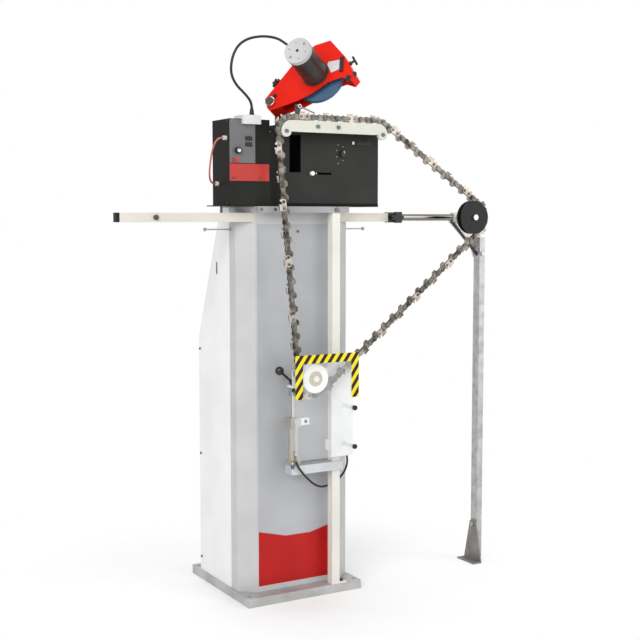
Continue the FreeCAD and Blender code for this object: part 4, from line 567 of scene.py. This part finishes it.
def make_marks():
    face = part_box("right_box")[0][1] / MM
    for k, (dx, dz) in enumerate(DIAL_DOTS):
        turned("dial_dot_" + str(k), "frame", (DIAL_AT[0] + dx, face, DIAL_AT[1] + dz), (0, -1, 0),
               [(1.7, -0.1), (1.7, 0.15), (0.0, 0.2)], MARK_GREY, steps=16)
    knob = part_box("dial_knob")[0][1] / MM
    block("dial_line", "dial", (DIAL_AT[0] - 0.7, knob - 0.2, DIAL_AT[1] + 1.5),
          (DIAL_AT[0] + 0.7, knob + 0.5, DIAL_AT[1] + 8.0), MARK_WHITE)
    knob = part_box("speed_knob")[0][1] / MM
    # The white dome on the speed knob is a painted highlight.
    turned("speed_highlight", "speed", (SPEED_AT[0], knob + 0.2, SPEED_AT[1]), (0, -1, 0),
           [(5.2, 0.0), (5.0, 0.9), (3.6, 1.5), (0.0, 1.8)], MARK_WHITE, steps=28)
    block("speed_line", "speed", (SPEED_AT[0] - 0.6, knob - 1.8, SPEED_AT[1] + 1.0),
          (SPEED_AT[0] + 0.6, knob + 0.2, SPEED_AT[1] + 5.0), BLACK_PLASTIC)
    block("key_mark", "frame", (163, face - 0.25, 1285), (170, face + 0.1, 1293), MARK_WHITE)
    block("display_strip", "frame", (179, face - 0.6, 1284), (224, face + 0.1, 1293), BLACK_PLASTIC,
          bevel=0.2)
    block("slider_end", "frame", (44, face - 0.25, 1200), (47, face + 0.1, 1203), MARK_WHITE)


# Small hardware that the solids leave out, and painted shade at the gusset's flange and the right box's foot

def bolt(name, body, seat, axis, radius, height, material):
    turned(name + "_washer", body, seat, axis, [(radius * 1.5, 0.0), (radius * 1.5, 0.9), (radius, 1.1)],
           material)
    turned(name, body, seat, axis, [(radius, 0.9), (radius, height), (radius * 0.8, height + 0.6),
                                    (0, height + 0.6)],
           material, steps=6, smooth=False)


def strip(name, body, start, end, width, y0, y1, material):
    """Flat bar between two (x, z) points, from y0 to y1."""
    along = Vector((end[0] - start[0], end[1] - start[1])).normalized()
    side = Vector((-along[1], along[0])) * width / 2
    outline = [(start[0] + side[0], start[1] + side[1]), (start[0] - side[0], start[1] - side[1]),
               (end[0] - side[0], end[1] - side[1]), (end[0] + side[0], end[1] + side[1])]
    lower, upper = ([(x * MM, y * MM, z * MM) for x, z in outline] for y in (y0, y1))
    return prism(name, body, lower, upper, material)


def make_hardware():
    # Hypotenuse flange of the corner gusset; its black is painted shade, for the flange faces down and away
    # from the lamps.
    strip("gusset_flange_shade", "arm", (541, 1068), (640, 964), 8.0, -134.5, -129.5, BLACK_PLASTIC)
    # Thin dark strip along the bottom of the right box's front: painted shade where the box stands on the
    # black box floor.
    low, high = (tuple(c / MM for c in corner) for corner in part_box("right_box"))
    block("right_box_base_shade", "frame", (low[0], low[1] - 1.2, low[2]), (high[0], low[1] + 0.2, low[2] + 6),
          BOX_SHADE, bevel=0.3)
    low, high = (tuple(c / MM for c in corner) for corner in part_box("air_cylinder"))
    middle = (low[0] + high[0]) / 2
    block("cylinder_tab", "tensioner", (middle + 10, low[1] + 10, high[2] - 21),
          (middle + 44, low[1] + 12, high[2] - 1),
          LOOKS["carriage_plate"], bevel=0.4)
    bolt("tab_bolt", "tensioner", (middle + 32, low[1] + 10, high[2] - 11), (0, -1, 0), 3.2, 3.5,
         BLACK_PLASTIC)
    for k, (height, radius, length, paint) in enumerate(((0, 4.8, 8, BLUE_RING), (8, 4.2, 11, BRASS))):
        turned("port_" + str(k), "tensioner", (middle - 13, low[1] + 5, low[2] - 6 + height), (0, 0, 1),
               [(0, 0), (radius, 0), (radius, length), (0, length)], paint, steps=24)


# Stage

FLOOR_REACH = 14.0
FLOOR_AT = -0.0006
FADE_START = 0.3
FADE_END = 0.85
AIM = (0.15, -0.1, 0.85)
LAMPS = (
    ("key", (-3.2, -2.8, 2.8), 2.6, 120.0),
    ("fill", (2.6, -3.0, 2.0), 2.6, 52.0),
    ("top", (0.2, 0.6, 3.8), 2.6, 40.0),
)


def floor_material():
    """Pale floor that keeps the shadow near the object and turns to the white of the backdrop further out."""
    material = surface("floor_pale", (0.93, 0.93, 0.93), (0.95, 0.95, 0.95), rough=(0.7, 0.8), bump=0.02,
                       gloss=0.1)
    tree = material.node_tree
    place = tree.nodes.new("ShaderNodeTexCoord")
    reach = tree.nodes.new("ShaderNodeVectorMath")
    reach.operation = "LENGTH"
    fade = tree.nodes.new("ShaderNodeMapRange")
    fade.interpolation_type = "SMOOTHSTEP"
    fade.inputs["From Min"].default_value = FADE_START
    fade.inputs["From Max"].default_value = FADE_END
    rays = tree.nodes.new("ShaderNodeLightPath")
    share = tree.nodes.new("ShaderNodeMath")
    share.operation = "MULTIPLY"
    white = tree.nodes.new("ShaderNodeEmission")
    white.inputs["Strength"].default_value = 1.0
    mix = tree.nodes.new("ShaderNodeMixShader")
    tree.links.new(place.outputs["Object"], reach.inputs[0])
    tree.links.new(reach.outputs["Value"], fade.inputs["Value"])
    tree.links.new(fade.outputs["Result"], share.inputs[0])
    tree.links.new(rays.outputs["Is Camera Ray"], share.inputs[1])
    tree.links.new(share.outputs["Value"], mix.inputs["Fac"])
    tree.links.new(tree.nodes["Principled BSDF"].outputs["BSDF"], mix.inputs[1])
    tree.links.new(white.outputs["Emission"], mix.inputs[2])
    tree.links.new(mix.outputs["Shader"], tree.nodes["Material Output"].inputs["Surface"])
    return material


def make_stage():
    mesh = bpy.data.meshes.new("floor")
    corners = [(x * FLOOR_REACH, y * FLOOR_REACH, 0) for x, y in ((-1, -1), (1, -1), (1, 1), (-1, 1))]
    mesh.from_pydata(corners, [], [(0, 1, 2, 3)])
    floor = bpy.data.objects.new("floor", mesh)
    floor.location.z = FLOOR_AT
    bpy.context.scene.collection.objects.link(floor)
    mesh.materials.append(floor_material())
    for name, place, size, power in LAMPS:
        data = bpy.data.lights.new(name, "AREA")
        data.size = size
        data.energy = power
        lamp = bpy.data.objects.new(name, data)
        lamp.location = place
        aim = Vector(AIM) - Vector(place)
        lamp.rotation_euler = aim.to_track_quat("-Z", "Y").to_euler()
        bpy.context.scene.collection.objects.link(lamp)
    world = bpy.data.worlds.new("studio")
    world.use_nodes = True
    bpy.context.scene.world = world
    tree = world.node_tree
    back = tree.nodes["Background"]
    back.inputs["Color"].default_value = (0.98, 0.99, 1.0, 1)
    back.inputs["Strength"].default_value = 0.55
    white = tree.nodes.new("ShaderNodeBackground")
    white.inputs["Color"].default_value = (1, 1, 1, 1)
    white.inputs["Strength"].default_value = 1.0
    rays = tree.nodes.new("ShaderNodeLightPath")
    either = tree.nodes.new("ShaderNodeMath")
    either.operation = "MAXIMUM"
    through = tree.nodes.new("ShaderNodeMath")
    through.operation = "MAXIMUM"
    mix = tree.nodes.new("ShaderNodeMixShader")
    tree.links.new(rays.outputs["Is Camera Ray"], either.inputs[0])
    tree.links.new(rays.outputs["Is Glossy Ray"], either.inputs[1])
    tree.links.new(either.outputs["Value"], through.inputs[0])
    tree.links.new(rays.outputs["Is Transmission Ray"], through.inputs[1])
    tree.links.new(through.outputs["Value"], mix.inputs["Fac"])
    tree.links.new(back.outputs["Background"], mix.inputs[1])
    tree.links.new(white.outputs["Background"], mix.inputs[2])
    tree.links.new(mix.outputs["Shader"], tree.nodes["World Output"].inputs["Surface"])


make_camera()
make_cords()
dress_nodes()
make_guard_bands()
make_head_details()
make_marks()
make_hardware()
make_stage()
bpy.context.scene.view_settings.view_transform = "Standard"
